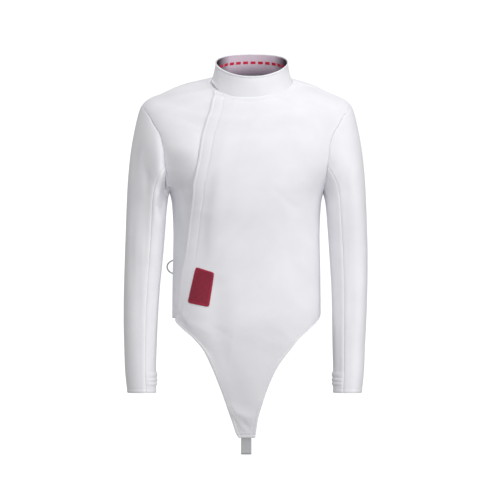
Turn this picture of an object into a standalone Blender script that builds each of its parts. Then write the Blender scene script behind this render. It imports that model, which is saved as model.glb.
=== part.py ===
"""Fencing jacket in its worn shape: every sewn piece is a thin wall of cloth, empty inside.

The wearer faces -Y, their left is +X and +Z is up. The origin lies between the two shoulder
lines, where the jacket hangs on its wearer. Sizes and points here are millimetres, which
to_metres turns into Blender's metres. An angle round the body starts at the front and runs
towards the wearer's left. A level is the height of a body ring at the wearer's side.
"""

import math
from collections import namedtuple

import bmesh
import bpy
import numpy as np

# Cloth
WALL = 2.0
SEAM_GAP = 0.3
LINING_WALL = 1.0
PATCH_WALL = 1.2
ZIP_WALL = 1.5

# Body rings, from the neck seam down to the tip of the apron
BodyRing = namedtuple(
    "BodyRing", "side_z front_z back_z half_width front_y back_y centre_x centre_y power"
)
BODY_RINGS = (
    BodyRing(9, -21.5, 29, 84.6, -86, 64, 11, -8, 2.0),
    BodyRing(-3, -38, 11, 142, -91, 72, 2, -7, 2.0),
    BodyRing(-20, -58, -12, 183, -96, 81, 0, -5, 2.0),
    BodyRing(-29, -70, -25, 206, -99, 86, 0, -4, 2.0),
    BodyRing(-39, -83, -40, 217, -101, 90, 0, -3, 2.0),
    BodyRing(-60, -100, -63, 226, -104, 94, 0, -2, 2.0),
    BodyRing(-85, -119, -89, 229, -108, 98, 0, -1, 2.0),
    BodyRing(-110, -138, -113, 226, -111, 101, 0, 0, 2.02),
    BodyRing(-135, -157, -137, 217, -113, 103, 0, 0, 2.06),
    BodyRing(-162, -178, -163, 202, -114.5, 104.5, 0, 0, 2.12),
    BodyRing(-190, -200, -191, 182, -115, 105, 0, 0, 2.2),
    BodyRing(-222, -226, -222, 162, -114, 103, 0, 0, 2.3),
    BodyRing(-250, -250, -250, 156, -112, 100, 0, 0, 2.3),
    BodyRing(-315, -315, -315, 153.3, -104, 92, 0, 0, 2.3),
    BodyRing(-400, -400, -400, 155, -100, 94, 0, 0, 2.3),
    BodyRing(-478, -478, -478, 155.6, -101, 102, 0, 0, 2.3),
    BodyRing(-530, -530, -530, 151, -96, 100, 0, 0, 2.3),
    BodyRing(-600, -600, -600, 137, -79, 90, 0, 0, 2.2),
    BodyRing(-670, -670, -670, 112, -54, 70, 0, 0, 2.1),
    BodyRing(-745, -745, -745, 78, -24, 50, 0, 0, 2.0),
)
NECK_LEVEL = 9.0
SHOULDER_LEVEL = -39.0
ARMPIT_LEVEL = -222.0
HEM_LEVEL = -478.0
APRON_LEVELS = (-484, -491, -500, -512, -527, -545, -566, -590, -615, -642, -670, -698, -722, -738.5)
YOKE_LEVELS = (9, 5, 0, -6, -13, -21, -30)
ARMHOLE_STEPS = 10
SIDE_STEPS = 9
SIDE_ANGLE = math.pi / 2

# Armhole seam, as seen from the front and from behind
ArmholePoint = namedtuple("ArmholePoint", "z front_x back_x")
ARMHOLE = (
    ArmholePoint(-60, 206, 207),
    ArmholePoint(-82, 194, 197),
    ArmholePoint(-102, 182, 188),
    ArmholePoint(-128, 175, 181),
    ArmholePoint(-160, 172, 177),
    ArmholePoint(-190, 168, 171),
    ArmholePoint(-210, 164.3, 165),
)

# Free edge of the front flap, on the wearer's right
FlapPoint = namedtuple("FlapPoint", "x z")
FLAP_EDGE = (
    FlapPoint(-65.5, -21.6),
    FlapPoint(-73.7, -40),
    FlapPoint(-83.6, -71),
    FlapPoint(-93.7, -107),
    FlapPoint(-99.5, -145),
    FlapPoint(-106, -178.5),
    FlapPoint(-111.7, -218),
    FlapPoint(-120, -290),
    FlapPoint(-127.3, -348.6),
    FlapPoint(-135, -395),
    FlapPoint(-140.5, -440),
    FlapPoint(-145, -480),
)
FLAP_TO_NECK = math.radians(-53)
UNDERLAP = 26.0
FLAP_COLUMNS = (0, 4, 14, 26, 38, 50, 66, 82)
ZIP_WIDTH = 24.0
LAP_LIFT = WALL + SEAM_GAP
LIFT_HELD_TO = 50.0
LIFT_GONE_AT = 82.0
LIFT_SINKS_FROM_Z = -500.0
LIFT_SUNK_AT_Z = -545.0
SHORT_ROW = 190.0
FRONT_COLUMNS = 11
BACK_COLUMNS = 18
UNDER_FRONT_COLUMNS = 5

# Cut edges of the apron below the hip
ApronPoint = namedtuple("ApronPoint", "z right_x left_x")
APRON_EDGE = (
    ApronPoint(-491, -148, 151),
    ApronPoint(-502, -139.7, 141),
    ApronPoint(-529, -110, 111),
    ApronPoint(-556, -89, 90),
    ApronPoint(-584, -75.5, 69.7),
    ApronPoint(-604, -66.8, 58.5),
    ApronPoint(-637, -54, 44.3),
    ApronPoint(-668, -43, 33.4),
    ApronPoint(-704, -30.5, 23.5),
    ApronPoint(-731, -21.5, 19.8),
    ApronPoint(-738.5, -16, 18.5),
)
BACK_HEM_DIP = 14.0

# Stand collar: it starts outside, on the wearer's right front, and laps over its own end
COLLAR_TOP = BodyRing(50.7, 24, 65, 75.5, -82, 58, 11.3, -10, 2.0)
COLLAR_START = -75.0
COLLAR_TURN = 405.0
COLLAR_STEP = 9.0
COLLAR_LAP_END = -30.0
COLLAR_LIFT_GONE = 0.0
COLLAR_RISE = 0.4
COLLAR_ROWS = 3
COLLAR_FALL_IN = 1.5
LINING_START = -21.0
LINING_END = 330.0
LINING_LOW = 0.05
LINING_HIGH = 0.95

# Sleeve: where it shows outermost and innermost from the front, and its depth front to back
SleeveRing = namedtuple("SleeveRing", "place outer_x outer_z inner_x inner_z centre_y half_depth")
SLEEVE_RINGS = (
    SleeveRing(0.00, 217, -39, 162, -222, -1, 70),
    SleeveRing(0.04, 223, -55, 162.8, -225.5, -1, 70.5),
    SleeveRing(0.09, 229.5, -79, 163.8, -229, -1, 71),
    SleeveRing(0.15, 236.5, -111, 165.2, -234, 0, 71),
    SleeveRing(0.22, 243, -155, 167.0, -242, 1, 70),
    SleeveRing(0.30, 248, -215, 169.5, -262, 2, 67.5),
    SleeveRing(0.40, 251, -290, 172.5, -302, 3, 63.5),
    SleeveRing(0.50, 253, -360, 177, -362, 1, 59),
    SleeveRing(0.60, 253.6, -425, 182, -425, -5, 54.5),
    SleeveRing(0.70, 252.8, -487, 184.7, -487, -15, 49.5),
    SleeveRing(0.80, 250.6, -546, 186.3, -546, -27, 45),
    SleeveRing(0.88, 248.8, -592, 187.4, -592, -37, 41.5),
    SleeveRing(1.00, 243.8, -641.5, 187.2, -641.5, -47, 38),
)
SLEEVE_PLACES = (
    0, 0.03, 0.065, 0.105, 0.155, 0.21, 0.27, 0.335, 0.40, 0.47, 0.54, 0.61, 0.68, 0.75, 0.82,
)
CUFF_STITCH_Z = (-598.5, -611, -619.5, -627)
CUFF_LEAD = 6.0
CUFF_RIDGE = 1.6
CUFF_HEM_Z = -634.0
CUFF_Z = -641.5
SLEEVE_SEAM_STEP = 6
SLEEVE_SEAM_DIP = 0.9
EVEN_FROM_PLACE = 0.3
MOST_MITRE = 4.0

# Crotch strap: elastic webbing from the apron's tip round to the middle of the back hem
STRAP_WIDTH = 22.0
STRAP_WALL = 2.0
STRAP_X = -0.5
STRAP_TOP_Z = -712.0
STRAP_LOW_Z = -774.0
STRAP_TURN = 7.0
STRAP_SEWN_BACK = 24.0
STRAP_BOW = 10.0
STRAP_EASE = 0.9

# Red patch on the hip, leaning with the flap: corners as seen from the front
PatchCorner = namedtuple("PatchCorner", "x z")
PATCH_CORNERS = (
    PatchCorner(-105.2, -378),
    PatchCorner(-67, -389.8),
    PatchCorner(-78.8, -462),
    PatchCorner(-121.4, -453),
)
PATCH_STEPS = (6, 10)

# D-ring on its tape, behind the side seam on the wearer's right
RING_Z = -381.0
RING_WIRE = 3.2
RING_HALF_HEIGHT = 15.0
RING_DEPTH = 20.0
RING_BAR_X = -147.0
RING_SIDES = 8
RING_BOW_STEPS = 15
RING_BAR_HALF = 11.5
RING_CORNER = 9.0
TAPE_WALL = 1.2
TAPE_WIDTH = 20.0
TAPE_LENGTH = 24.0
TAPE_CLEARANCE = 0.3
TAPE_DOUBLE_FROM = 9.0
RING_STAND_OFF = TAPE_CLEARANCE + TAPE_WALL + TAPE_CLEARANCE + RING_WIRE / 2

# Fineness of the curves: turns in radians, rises in millimetres
NORMAL_TURN = 0.02
NORMAL_RISE = 0.6
ROW_SAMPLES = 90
ROW_REACH = 1.0
HEIGHT_SAMPLES = 200
HALVINGS = 40

Finish = namedtuple("Finish", "colour roughness metallic")
WHITE_CLOTH = Finish((0.80, 0.80, 0.83), 0.75, 0.0)
SHADE_CLOTH = Finish((0.72, 0.72, 0.76), 0.75, 0.0)
MESH_LINING = Finish((0.45, 0.38, 0.46), 0.85, 0.0)
RED_WEAVE = Finish((0.20, 0.006, 0.022), 0.7, 0.0)
GREY_WEBBING = Finish((0.42, 0.43, 0.45), 0.8, 0.0)
STEEL = Finish((0.55, 0.55, 0.56), 0.3, 1.0)


def to_metres(point):
    return tuple(float(value) / 1000 for value in point)


def unit(vectors):
    vectors = np.asarray(vectors, float)
    return vectors / np.linalg.norm(vectors, axis=-1, keepdims=True)


def smooth_curve(places, values):
    """A smooth curve through the values that never swings past them."""
    order = np.argsort(places)
    places = np.asarray(places, float)[order]
    values = np.asarray(values, float)[order]
    steps = np.diff(places)
    rates = np.diff(values) / steps
    slopes = np.concatenate([rates[:1], np.zeros(len(rates) - 1), rates[-1:]])
    for i in range(1, len(rates)):
        before, after = rates[i - 1], rates[i]
        if before * after > 0:
            near, far = 2 * steps[i] + steps[i - 1], steps[i] + 2 * steps[i - 1]
            slopes[i] = (near + far) / (near / before + far / after)

    def value_at(place):
        place = min(max(place, places[0]), places[-1])
        i = min(int(np.searchsorted(places, place, side="right")) - 1, len(steps) - 1)
        t = (place - places[i]) / steps[i]
        start = (1 + 2 * t) * (1 - t) ** 2 * values[i] + t * (1 - t) ** 2 * steps[i] * slopes[i]
        end = t * t * (3 - 2 * t) * values[i + 1] + t * t * (t - 1) * steps[i] * slopes[i + 1]
        return start + end

    return value_at


def column_curves(rows, key):
    """One smooth curve for each column of a table, over its key column."""
    keys = [getattr(row, key) for row in rows]
    return [smooth_curve(keys, [row[i] for row in rows]) for i in range(len(rows[0]))]


def ramp_down(value, start, end):
    """1 up to start, 0 from end, a straight line between."""
    return float(np.clip((end - value) / (end - start), 0, 1))


BODY_CURVES = column_curves(BODY_RINGS, "side_z")


def body_ring(level):
    return BodyRing(*(curve(level) for curve in BODY_CURVES))


def ring_point(ring, angle):
    """Point of a ring: a rounded-off ellipse whose front hangs lower than its sides."""
    across, ahead = math.sin(angle), math.cos(angle)
    roundness = 2 / ring.power
    x = ring.centre_x + ring.half_width * math.copysign(abs(across) ** roundness, across)
    reach = (ring.front_y if ahead > 0 else ring.back_y) - ring.centre_y
    y = ring.centre_y + reach * abs(ahead) ** roundness
    tilt = (ring.back_z - ring.front_z) / 2
    sag = ring.side_z - (ring.back_z + ring.front_z) / 2
    return np.array([x, y, ring.side_z - tilt * ahead - sag * ahead**2])


def body_point(angle, level):
    return ring_point(body_ring(level), angle)


def body_normal(angle, level):
    """Unit vector out of the cloth."""
    high = min(level + NORMAL_RISE, NECK_LEVEL)
    low = max(level - NORMAL_RISE, BODY_RINGS[-1].side_z)
    around = body_point(angle + NORMAL_TURN, level) - body_point(angle - NORMAL_TURN, level)
    upward = body_point(angle, high) - body_point(angle, low)
    return unit(np.cross(around, upward))


def angle_seen_at(x, level, behind):
    ring = body_ring(level)
    share = min(abs(x - ring.centre_x) / ring.half_width, 1) ** (ring.power / 2)
    angle = math.copysign(math.asin(share), x - ring.centre_x)
    return math.copysign(math.pi, angle) - angle if behind else angle


def place_seen_at(x, z, behind=False):
    """(angle, level) of the cloth that shows at x and z from the front, or from behind."""
    low, high = BODY_RINGS[-1].side_z, NECK_LEVEL
    for _ in range(HALVINGS):
        level = (low + high) / 2
        if body_point(angle_seen_at(x, level, behind), level)[2] > z:
            high = level
        else:
            low = level
    return angle_seen_at(x, level, behind), level


def edge_angle(points, ends, behind=False):
    """Angle of a cut edge at each level, from its points and its end places (angle, level)."""
    places = [place_seen_at(x, z, behind) for x, z in points] + list(ends)
    return smooth_curve([level for _, level in places], [angle for angle, _ in places])


ARMHOLE_ENDS = ((SIDE_ANGLE, SHOULDER_LEVEL), (SIDE_ANGLE, ARMPIT_LEVEL))
FRONT_ARMHOLE = edge_angle([(row.front_x, row.z) for row in ARMHOLE], ARMHOLE_ENDS)
BACK_ARMHOLE = edge_angle([(row.back_x, row.z) for row in ARMHOLE], ARMHOLE_ENDS, behind=True)
FLAP_ANGLE = edge_angle(FLAP_EDGE, [(FLAP_TO_NECK, NECK_LEVEL)])
APRON_RIGHT = edge_angle(
    [(row.right_x, row.z) for row in APRON_EDGE], [(FLAP_ANGLE(HEM_LEVEL), HEM_LEVEL)]
)
APRON_LEFT = edge_angle([(row.left_x, row.z) for row in APRON_EDGE], [(SIDE_ANGLE, HEM_LEVEL)])


def front_limit(level):
    """Angle where a front panel ends at the wearer's side: shoulder seam, armhole or side seam."""
    return FRONT_ARMHOLE(level) if ARMPIT_LEVEL < level < SHOULDER_LEVEL else SIDE_ANGLE


def back_limit(level):
    return BACK_ARMHOLE(level) if ARMPIT_LEVEL < level < SHOULDER_LEVEL else SIDE_ANGLE


def armhole_levels():
    middle = (SHOULDER_LEVEL + ARMPIT_LEVEL) / 2
    half = (SHOULDER_LEVEL - ARMPIT_LEVEL) / 2
    return [middle + half * math.cos(math.pi * i / ARMHOLE_STEPS) for i in range(ARMHOLE_STEPS + 1)]


def side_levels():
    return list(np.linspace(ARMPIT_LEVEL, HEM_LEVEL, SIDE_STEPS + 1))[1:]


TRUNK_LEVELS = list(YOKE_LEVELS) + armhole_levels() + side_levels()


def row_lengths(level, start, end):
    """Angles along a row of cloth and the distance of each from its start."""
    angles = np.linspace(start, end, ROW_SAMPLES)
    points = np.array([body_point(angle, level) for angle in angles])
    steps = np.linalg.norm(np.diff(points, axis=0), axis=1)
    return angles, np.concatenate([[0], np.cumsum(steps)])


def angles_at(level, start, end, distances):
    """Angles at these distances along a row."""
    angles, lengths = row_lengths(level, start, end)
    return np.interp(distances, lengths, angles)


def spread_angles(level, start, end, columns):
    angles, lengths = row_lengths(level, start, end)
    return np.interp(np.linspace(0, lengths[-1], columns + 1), lengths, angles)


def flap_start(level):
    return FLAP_ANGLE(level) if level >= HEM_LEVEL else APRON_RIGHT(level)


def flap_lift(distance, level):
    """How far the flap stands out to lie over the under front."""
    across = ramp_down(distance, LIFT_HELD_TO, LIFT_GONE_AT)
    return LAP_LIFT * across * ramp_down(-level, -LIFT_SINKS_FROM_Z, -LIFT_SUNK_AT_Z)


def surface_grid(rows, lift_of=None):
    """(points, normals) of a panel's outer face, from rows of places (angle, level)."""
    points = np.array([[body_point(*place) for place in row] for row in rows])
    normals = np.array([[body_normal(*place) for place in row] for row in rows])
    if lift_of is not None:
        lifts = [lift_of(points[i], rows[i][0][1]) for i in range(len(rows))]
        points = points + normals * np.array(lifts)[:, :, None]
    return points, normals


def level_rows(levels, angles_of_level):
    return [[(angle, level) for angle in angles_of_level(level)] for level in levels]


def seamed(outer, inner, first=True, last=True):
    """Both faces of a panel with its first and last columns drawn back by half the seam's gap."""
    moved = [outer.copy(), inner.copy()]
    for grid in moved:
        if first:
            grid[:, 0] += unit(outer[:, 1] - outer[:, 0]) * SEAM_GAP / 2
        if last:
            grid[:, -1] += unit(outer[:, -2] - outer[:, -1]) * SEAM_GAP / 2
    return moved


def material(name, finish):
    made = bpy.data.materials.new(name)
    made.use_nodes = True
    shader = made.node_tree.nodes["Principled BSDF"]
    shader.inputs["Base Color"].default_value = (*finish.colour, 1)
    shader.inputs["Roughness"].default_value = finish.roughness
    shader.inputs["Metallic"].default_value = finish.metallic
    return made


def add_object(name, mesh_builder, finish, parent=None):
    """A named object from a bmesh, faces out, round stretches shaded smooth."""
    bmesh.ops.recalc_face_normals(mesh_builder, faces=mesh_builder.faces)
    mesh = bpy.data.meshes.new(name)
    mesh_builder.to_mesh(mesh)
    mesh_builder.free()
    mesh.shade_smooth()
    mesh.set_sharp_from_angle(angle=math.radians(40))
    mesh.materials.append(material(name, finish))
    made = bpy.data.objects.new(name, mesh)
    made.parent = parent
    bpy.context.collection.objects.link(made)
    return made


def add_wall(name, outer, inner, finish, parent=None):
    """A closed wall between two matching grids of points, with a rim round its edges.

    Rims that meet at a seam are split along the same diagonal, so that they stay apart.
    """
    rows, columns = outer.shape[:2]
    builder = bmesh.new()
    faces = []
    for grid in (outer, inner):
        faces.append([[builder.verts.new(to_metres(point)) for point in row] for row in grid])
    for near in faces:
        for i in range(rows - 1):
            for j in range(columns - 1):
                builder.faces.new((near[i][j], near[i][j + 1], near[i + 1][j + 1], near[i + 1][j]))
    border = [(0, j) for j in range(columns)]
    border += [(i, columns - 1) for i in range(1, rows)]
    border += [(rows - 1, j) for j in range(columns - 2, -1, -1)]
    border += [(i, 0) for i in range(rows - 2, 0, -1)]
    out, back = faces
    for here, there in zip(border, border[1:] + border[:1]):
        (i, j), (k, m) = here, there
        rim = (out[i][j], out[k][m], back[k][m], back[i][j])
        builder.faces.new(rim if here < there else rim[1:] + rim[:1])
    return add_object(name, builder, finish, parent)


def add_ribbon(name, route, thickness, width, across, finish, parent=None):
    """A flat band of even width, swept along a route that runs square to the direction across."""
    route = np.array(route, float)
    half = unit(across) * width / 2
    out = unit(np.cross(np.gradient(route, axis=0), half)) * thickness / 2
    faces = [np.stack([route + side - half, route + side + half], axis=1) for side in (out, -out)]
    return add_wall(name, *faces, finish, parent)


def add_closed_wire(name, route, plane_normal, thickness, sides, finish, parent=None):
    """A round wire bent into a closed flat loop."""
    route = np.array(route, float)
    forward = unit(np.roll(route, -1, axis=0) - np.roll(route, 1, axis=0))
    out = np.cross(forward, plane_normal)
    turns = np.arange(sides) * 2 * math.pi / sides
    builder = bmesh.new()
    rings = []
    for point, direction in zip(route, out):
        offsets = [direction * math.cos(t) + plane_normal * math.sin(t) for t in turns]
        rings.append([builder.verts.new(to_metres(point + o * thickness / 2)) for o in offsets])
    for here, there in zip(rings, rings[1:] + rings[:1]):
        for i in range(sides):
            k = (i + 1) % sides
            builder.faces.new((here[i], here[k], there[k], there[i]))
    return add_object(name, builder, finish, parent)


def sleeve_ring(place, curves):
    return SleeveRing(*(curve(place) for curve in curves))


def sleeve_places(curves):
    """Places of the sleeve's rings: the table's, then a ring on each cuff stitch and between them."""
    wanted = [CUFF_STITCH_Z[0] + CUFF_LEAD]
    for high, low in zip(CUFF_STITCH_Z, CUFF_STITCH_Z[1:]):
        wanted += [high, (high + low) / 2]
    wanted += [CUFF_STITCH_Z[-1], CUFF_HEM_Z, CUFF_Z]
    samples = np.linspace(SLEEVE_PLACES[-1], 1, HEIGHT_SAMPLES)
    heights = [-sleeve_ring(place, curves).outer_z for place in samples]
    return list(SLEEVE_PLACES) + list(np.interp([-z for z in wanted], heights, samples))


def armhole_loop(levels):
    """(points, body normals) of the left armhole: down its front from the shoulder, up its back."""
    front = [(FRONT_ARMHOLE(level), level) for level in levels]
    back = [(BACK_ARMHOLE(level), level) for level in levels[-2:0:-1]]
    places = front + back
    points = np.array([body_point(angle, level) for angle, level in places])
    normals = np.array([body_normal(angle, level) for angle, level in places])
    return points, normals


def gather_height(z, share):
    """Ridge of cloth between the rows of elastic inside the cuff; share is 0 at the seams."""
    for high, low in zip(CUFF_STITCH_Z, CUFF_STITCH_Z[1:]):
        if low < z < high:
            return CUFF_RIDGE * math.sin(math.pi * share) ** 0.5
    return 0.0


def sleeve_surface():
    """Outer face of the left sleeve as rings of points, the first one on the armhole seam."""
    curves = column_curves(SLEEVE_RINGS, "place")
    loop, _ = armhole_loop(armhole_levels())
    around = len(loop)
    first = SLEEVE_RINGS[0]
    outer = np.array([first.outer_x, first.centre_y, first.outer_z])
    inner = np.array([first.inner_x, first.centre_y, first.inner_z])
    half = (outer - inner) / 2
    middle = (outer + inner) / 2
    along = (loop - middle) @ half / (half @ half)
    ahead = -(loop[:, 1] - first.centre_y) / first.half_depth
    seam_turns = np.mod(np.arctan2(ahead, along), 2 * math.pi)
    seam_turns[0] = 0
    even_turns = np.arange(around) * 2 * math.pi / around

    def ellipse(ring, turns):
        near = np.array([ring.inner_x, 0, ring.inner_z])
        far = np.array([ring.outer_x, 0, ring.outer_z])
        points = (near + far) / 2 + np.cos(turns)[:, None] * (far - near) / 2
        points[:, 1] = ring.centre_y - ring.half_depth * np.sin(turns)
        return points

    strays = loop - ellipse(first, seam_turns)
    under = np.zeros(around)
    seams = (SLEEVE_SEAM_STEP, around - SLEEVE_SEAM_STEP)
    for j in range(seams[0], seams[1] + 1):
        under[j] = (j - seams[0]) / (seams[1] - seams[0])
    rings = []
    for place in sleeve_places(curves):
        ring = sleeve_ring(place, curves)
        even = min(place / EVEN_FROM_PLACE, 1)
        even = even * even * (3 - 2 * even)
        turns = seam_turns * (1 - even) + even_turns * even
        points = ellipse(ring, turns) + strays * (1 - even) ** 2
        centre = points.mean(axis=0)
        outward = unit(points - centre)
        for j in range(around):
            if j in seams and place > 0:
                points[j] -= outward[j] * SLEEVE_SEAM_DIP
            elif seams[0] < j < seams[1]:
                points[j] += outward[j] * gather_height(points[j][2], under[j])
        rings.append(points)
    return np.array(rings)


def loop_normals(rings):
    """Outward normals of a tube given as closed rings of points."""
    around = np.roll(rings, -1, axis=1) - np.roll(rings, 1, axis=1)
    along = np.gradient(rings, axis=0)
    return unit(np.cross(around, along))


def mitred(points, body_normals, sleeve_normals):
    """Inner corners of two walls that meet at a seam, on the line halfway between them."""
    between = unit(body_normals + sleeve_normals)
    cosine = np.sum(between * body_normals, axis=1)
    reach = np.minimum(WALL / np.maximum(cosine, 0.01), MOST_MITRE)
    return points - between * reach[:, None]


def across_seam(points, inner):
    """Unit directions across the armhole seam, out of the body and into the sleeve."""
    tangents = np.roll(points, -1, axis=0) - np.roll(points, 1, axis=0)
    across = unit(np.cross(tangents, points - inner))
    return across if across[0][0] > 0 else -across


SLEEVE_OUTER = sleeve_surface()
SLEEVE_NORMALS = loop_normals(SLEEVE_OUTER)
ARMHOLE_POINTS, ARMHOLE_NORMALS = armhole_loop(armhole_levels())
ARMHOLE_INNER = mitred(ARMHOLE_POINTS, ARMHOLE_NORMALS, SLEEVE_NORMALS[0])
ARMHOLE_SHIFT = across_seam(ARMHOLE_POINTS, ARMHOLE_INNER) * SEAM_GAP / 2
FRONT_HALF = list(range(ARMHOLE_STEPS + 1))
BACK_HALF = [-i % len(ARMHOLE_POINTS) for i in range(ARMHOLE_STEPS + 1)]
ARMHOLE_ROWS = slice(len(YOKE_LEVELS), len(YOKE_LEVELS) + ARMHOLE_STEPS + 1)


def set_armhole(outer, inner, column, half, side=1):
    """Ends a body panel's column on the armhole seam; side is -1 on the wearer's right."""
    flip = np.array([side, 1, 1])
    outer[ARMHOLE_ROWS, column] = (ARMHOLE_POINTS - ARMHOLE_SHIFT)[half] * flip
    inner[ARMHOLE_ROWS, column] = (ARMHOLE_INNER - ARMHOLE_SHIFT)[half] * flip


def mirror(points):
    return points * np.array([-1, 1, 1])


def build_sleeves(body):
    """Each sleeve is an outer and an under piece, joined by a front and a back seam."""
    outer = SLEEVE_OUTER.copy()
    inner = SLEEVE_OUTER - SLEEVE_NORMALS * WALL
    outer[0] = ARMHOLE_POINTS + ARMHOLE_SHIFT
    inner[0] = ARMHOLE_INNER + ARMHOLE_SHIFT
    around = outer.shape[1]
    pieces = {
        "sleeve_outer": [j % around for j in range(-SLEEVE_SEAM_STEP, SLEEVE_SEAM_STEP + 1)],
        "sleeve_under": list(range(SLEEVE_SEAM_STEP, around - SLEEVE_SEAM_STEP + 1)),
    }
    for piece, columns in pieces.items():
        grids = seamed(outer[:, columns], inner[:, columns])
        add_wall(f"{piece}_left", *grids, WHITE_CLOTH, body)
        add_wall(f"{piece}_right", *(mirror(grid) for grid in grids), WHITE_CLOTH, body)


def front_main_angles(level):
    start = flap_start(level)
    end = front_limit(level) if level >= HEM_LEVEL else APRON_LEFT(level)
    angles, lengths = row_lengths(level, start, end)
    scale = min(1, lengths[-1] / SHORT_ROW)
    flap = [distance * scale for distance in FLAP_COLUMNS]
    rest = np.linspace(flap[-1], lengths[-1], FRONT_COLUMNS + 1)[1:]
    return np.interp(flap + list(rest), lengths, angles)


def distances_along(row):
    return np.concatenate([[0], np.cumsum(np.linalg.norm(np.diff(row, axis=0), axis=1))])


def front_main_lift(row, level):
    return np.array([flap_lift(distance, level) for distance in distances_along(row)])


def build_front_main(body):
    """Centre and left front with the flap and the apron, cut in one."""
    rows = level_rows(TRUNK_LEVELS + list(APRON_LEVELS), front_main_angles)
    neck_row = np.array([body_point(*place) for place in rows[0]])
    drops = front_main_lift(neck_row, NECK_LEVEL)
    rows[0] = [(angle, level - drop) for (angle, level), drop in zip(rows[0], drops)]
    outer, normals = surface_grid(rows, front_main_lift)
    inner = outer - normals * WALL
    set_armhole(outer, inner, -1, FRONT_HALF)
    trunk = len(TRUNK_LEVELS)
    grids = seamed(outer, inner, first=False)
    for grid, free in zip(grids, (outer, inner)):
        grid[trunk:] = free[trunk:]
    add_wall("front_main", *grids, WHITE_CLOTH, body)


def under_front_angles(level):
    start, edge = -front_limit(level), flap_start(level)
    visible = spread_angles(level, start, edge, UNDER_FRONT_COLUMNS)
    covered = [distance for distance in FLAP_COLUMNS if 0 < distance <= UNDERLAP]
    return np.concatenate([visible, angles_at(level, edge, edge + ROW_REACH, covered)])


def build_front_under(body):
    """Right front: its inner edge runs under the flap and carries the zip."""
    outer, normals = surface_grid(level_rows(TRUNK_LEVELS, under_front_angles))
    inner = outer - normals * WALL
    set_armhole(outer, inner, 0, FRONT_HALF, side=-1)
    add_wall("front_under", *seamed(outer, inner), SHADE_CLOTH, body)


def zip_angles(level):
    edge = flap_start(level)
    distances = [UNDERLAP, UNDERLAP + ZIP_WIDTH / 2, UNDERLAP + ZIP_WIDTH]
    return angles_at(level, edge, edge + ROW_REACH, distances)


def build_zip(body):
    """Closed zip between the under front's edge and the flap: its tapes and chain as one band."""
    outer, normals = surface_grid(level_rows(TRUNK_LEVELS[1:], zip_angles))
    add_wall("zip", *seamed(outer, outer - normals * ZIP_WALL), WHITE_CLOTH, body)


def back_angles(level):
    limit = back_limit(level)
    start = limit if limit > SIDE_ANGLE else math.pi - limit
    return spread_angles(level, start, 2 * math.pi - start, BACK_COLUMNS)


def build_back(body):
    """Whole back; its hem hangs a little lower in the middle, where the strap is sewn in."""
    rows = level_rows(TRUNK_LEVELS, back_angles)
    dip = BACK_HEM_DIP * np.sin(np.linspace(0, math.pi, BACK_COLUMNS + 1)) ** 2
    for row, share in ((-2, 0.5), (-1, 1.0)):
        rows[row] = [(place[0], place[1] - drop * share) for place, drop in zip(rows[row], dip)]
    outer, normals = surface_grid(rows)
    inner = outer - normals * WALL
    set_armhole(outer, inner, 0, BACK_HALF)
    set_armhole(outer, inner, -1, BACK_HALF, side=-1)
    add_wall("back", *seamed(outer, inner), WHITE_CLOTH, body)


def collar_ring(share):
    """Ring between the neck seam and the collar's top edge, a little hollow halfway."""
    neck = body_ring(NECK_LEVEL)
    ring = BodyRing(*(low + (high - low) * share for low, high in zip(neck, COLLAR_TOP)))
    hollow = COLLAR_FALL_IN * math.sin(math.pi * share)
    return ring._replace(half_width=ring.half_width - hollow)


def collar_point(degrees, share, offset):
    angle = math.radians(degrees)
    ring = collar_ring(share)
    around = ring_point(ring, angle + NORMAL_TURN) - ring_point(ring, angle - NORMAL_TURN)
    upward = ring_point(collar_ring(1), angle) - ring_point(collar_ring(0), angle)
    point = ring_point(ring, angle) + unit(np.cross(around, upward)) * offset
    point[2] += COLLAR_RISE
    return point


def collar_lift(degrees):
    return LAP_LIFT * ramp_down(degrees, COLLAR_LAP_END, COLLAR_LIFT_GONE)


def collar_grid(start, end, low, high, rows, depth):
    """Points of a band round the neck, at a depth below the collar's outer face."""
    columns = int(round((end - start) / COLLAR_STEP))
    turns = np.linspace(start, end, columns + 1)
    shares = np.linspace(low, high, rows + 1)
    rows = [[collar_point(turn, share, collar_lift(turn) - depth) for turn in turns] for share in shares]
    return np.array(rows)


def build_collar(body):
    end = COLLAR_START + COLLAR_TURN
    grids = [collar_grid(COLLAR_START, end, 0, 1, COLLAR_ROWS, depth) for depth in (0, WALL)]
    add_wall("collar", *grids, WHITE_CLOTH, body)
    near, far = WALL + SEAM_GAP, WALL + SEAM_GAP + LINING_WALL
    grids = [
        collar_grid(LINING_START, LINING_END, LINING_LOW, LINING_HIGH, COLLAR_ROWS - 1, depth)
        for depth in (near, far)
    ]
    add_wall("collar_lining", *grids, MESH_LINING, body)


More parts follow.
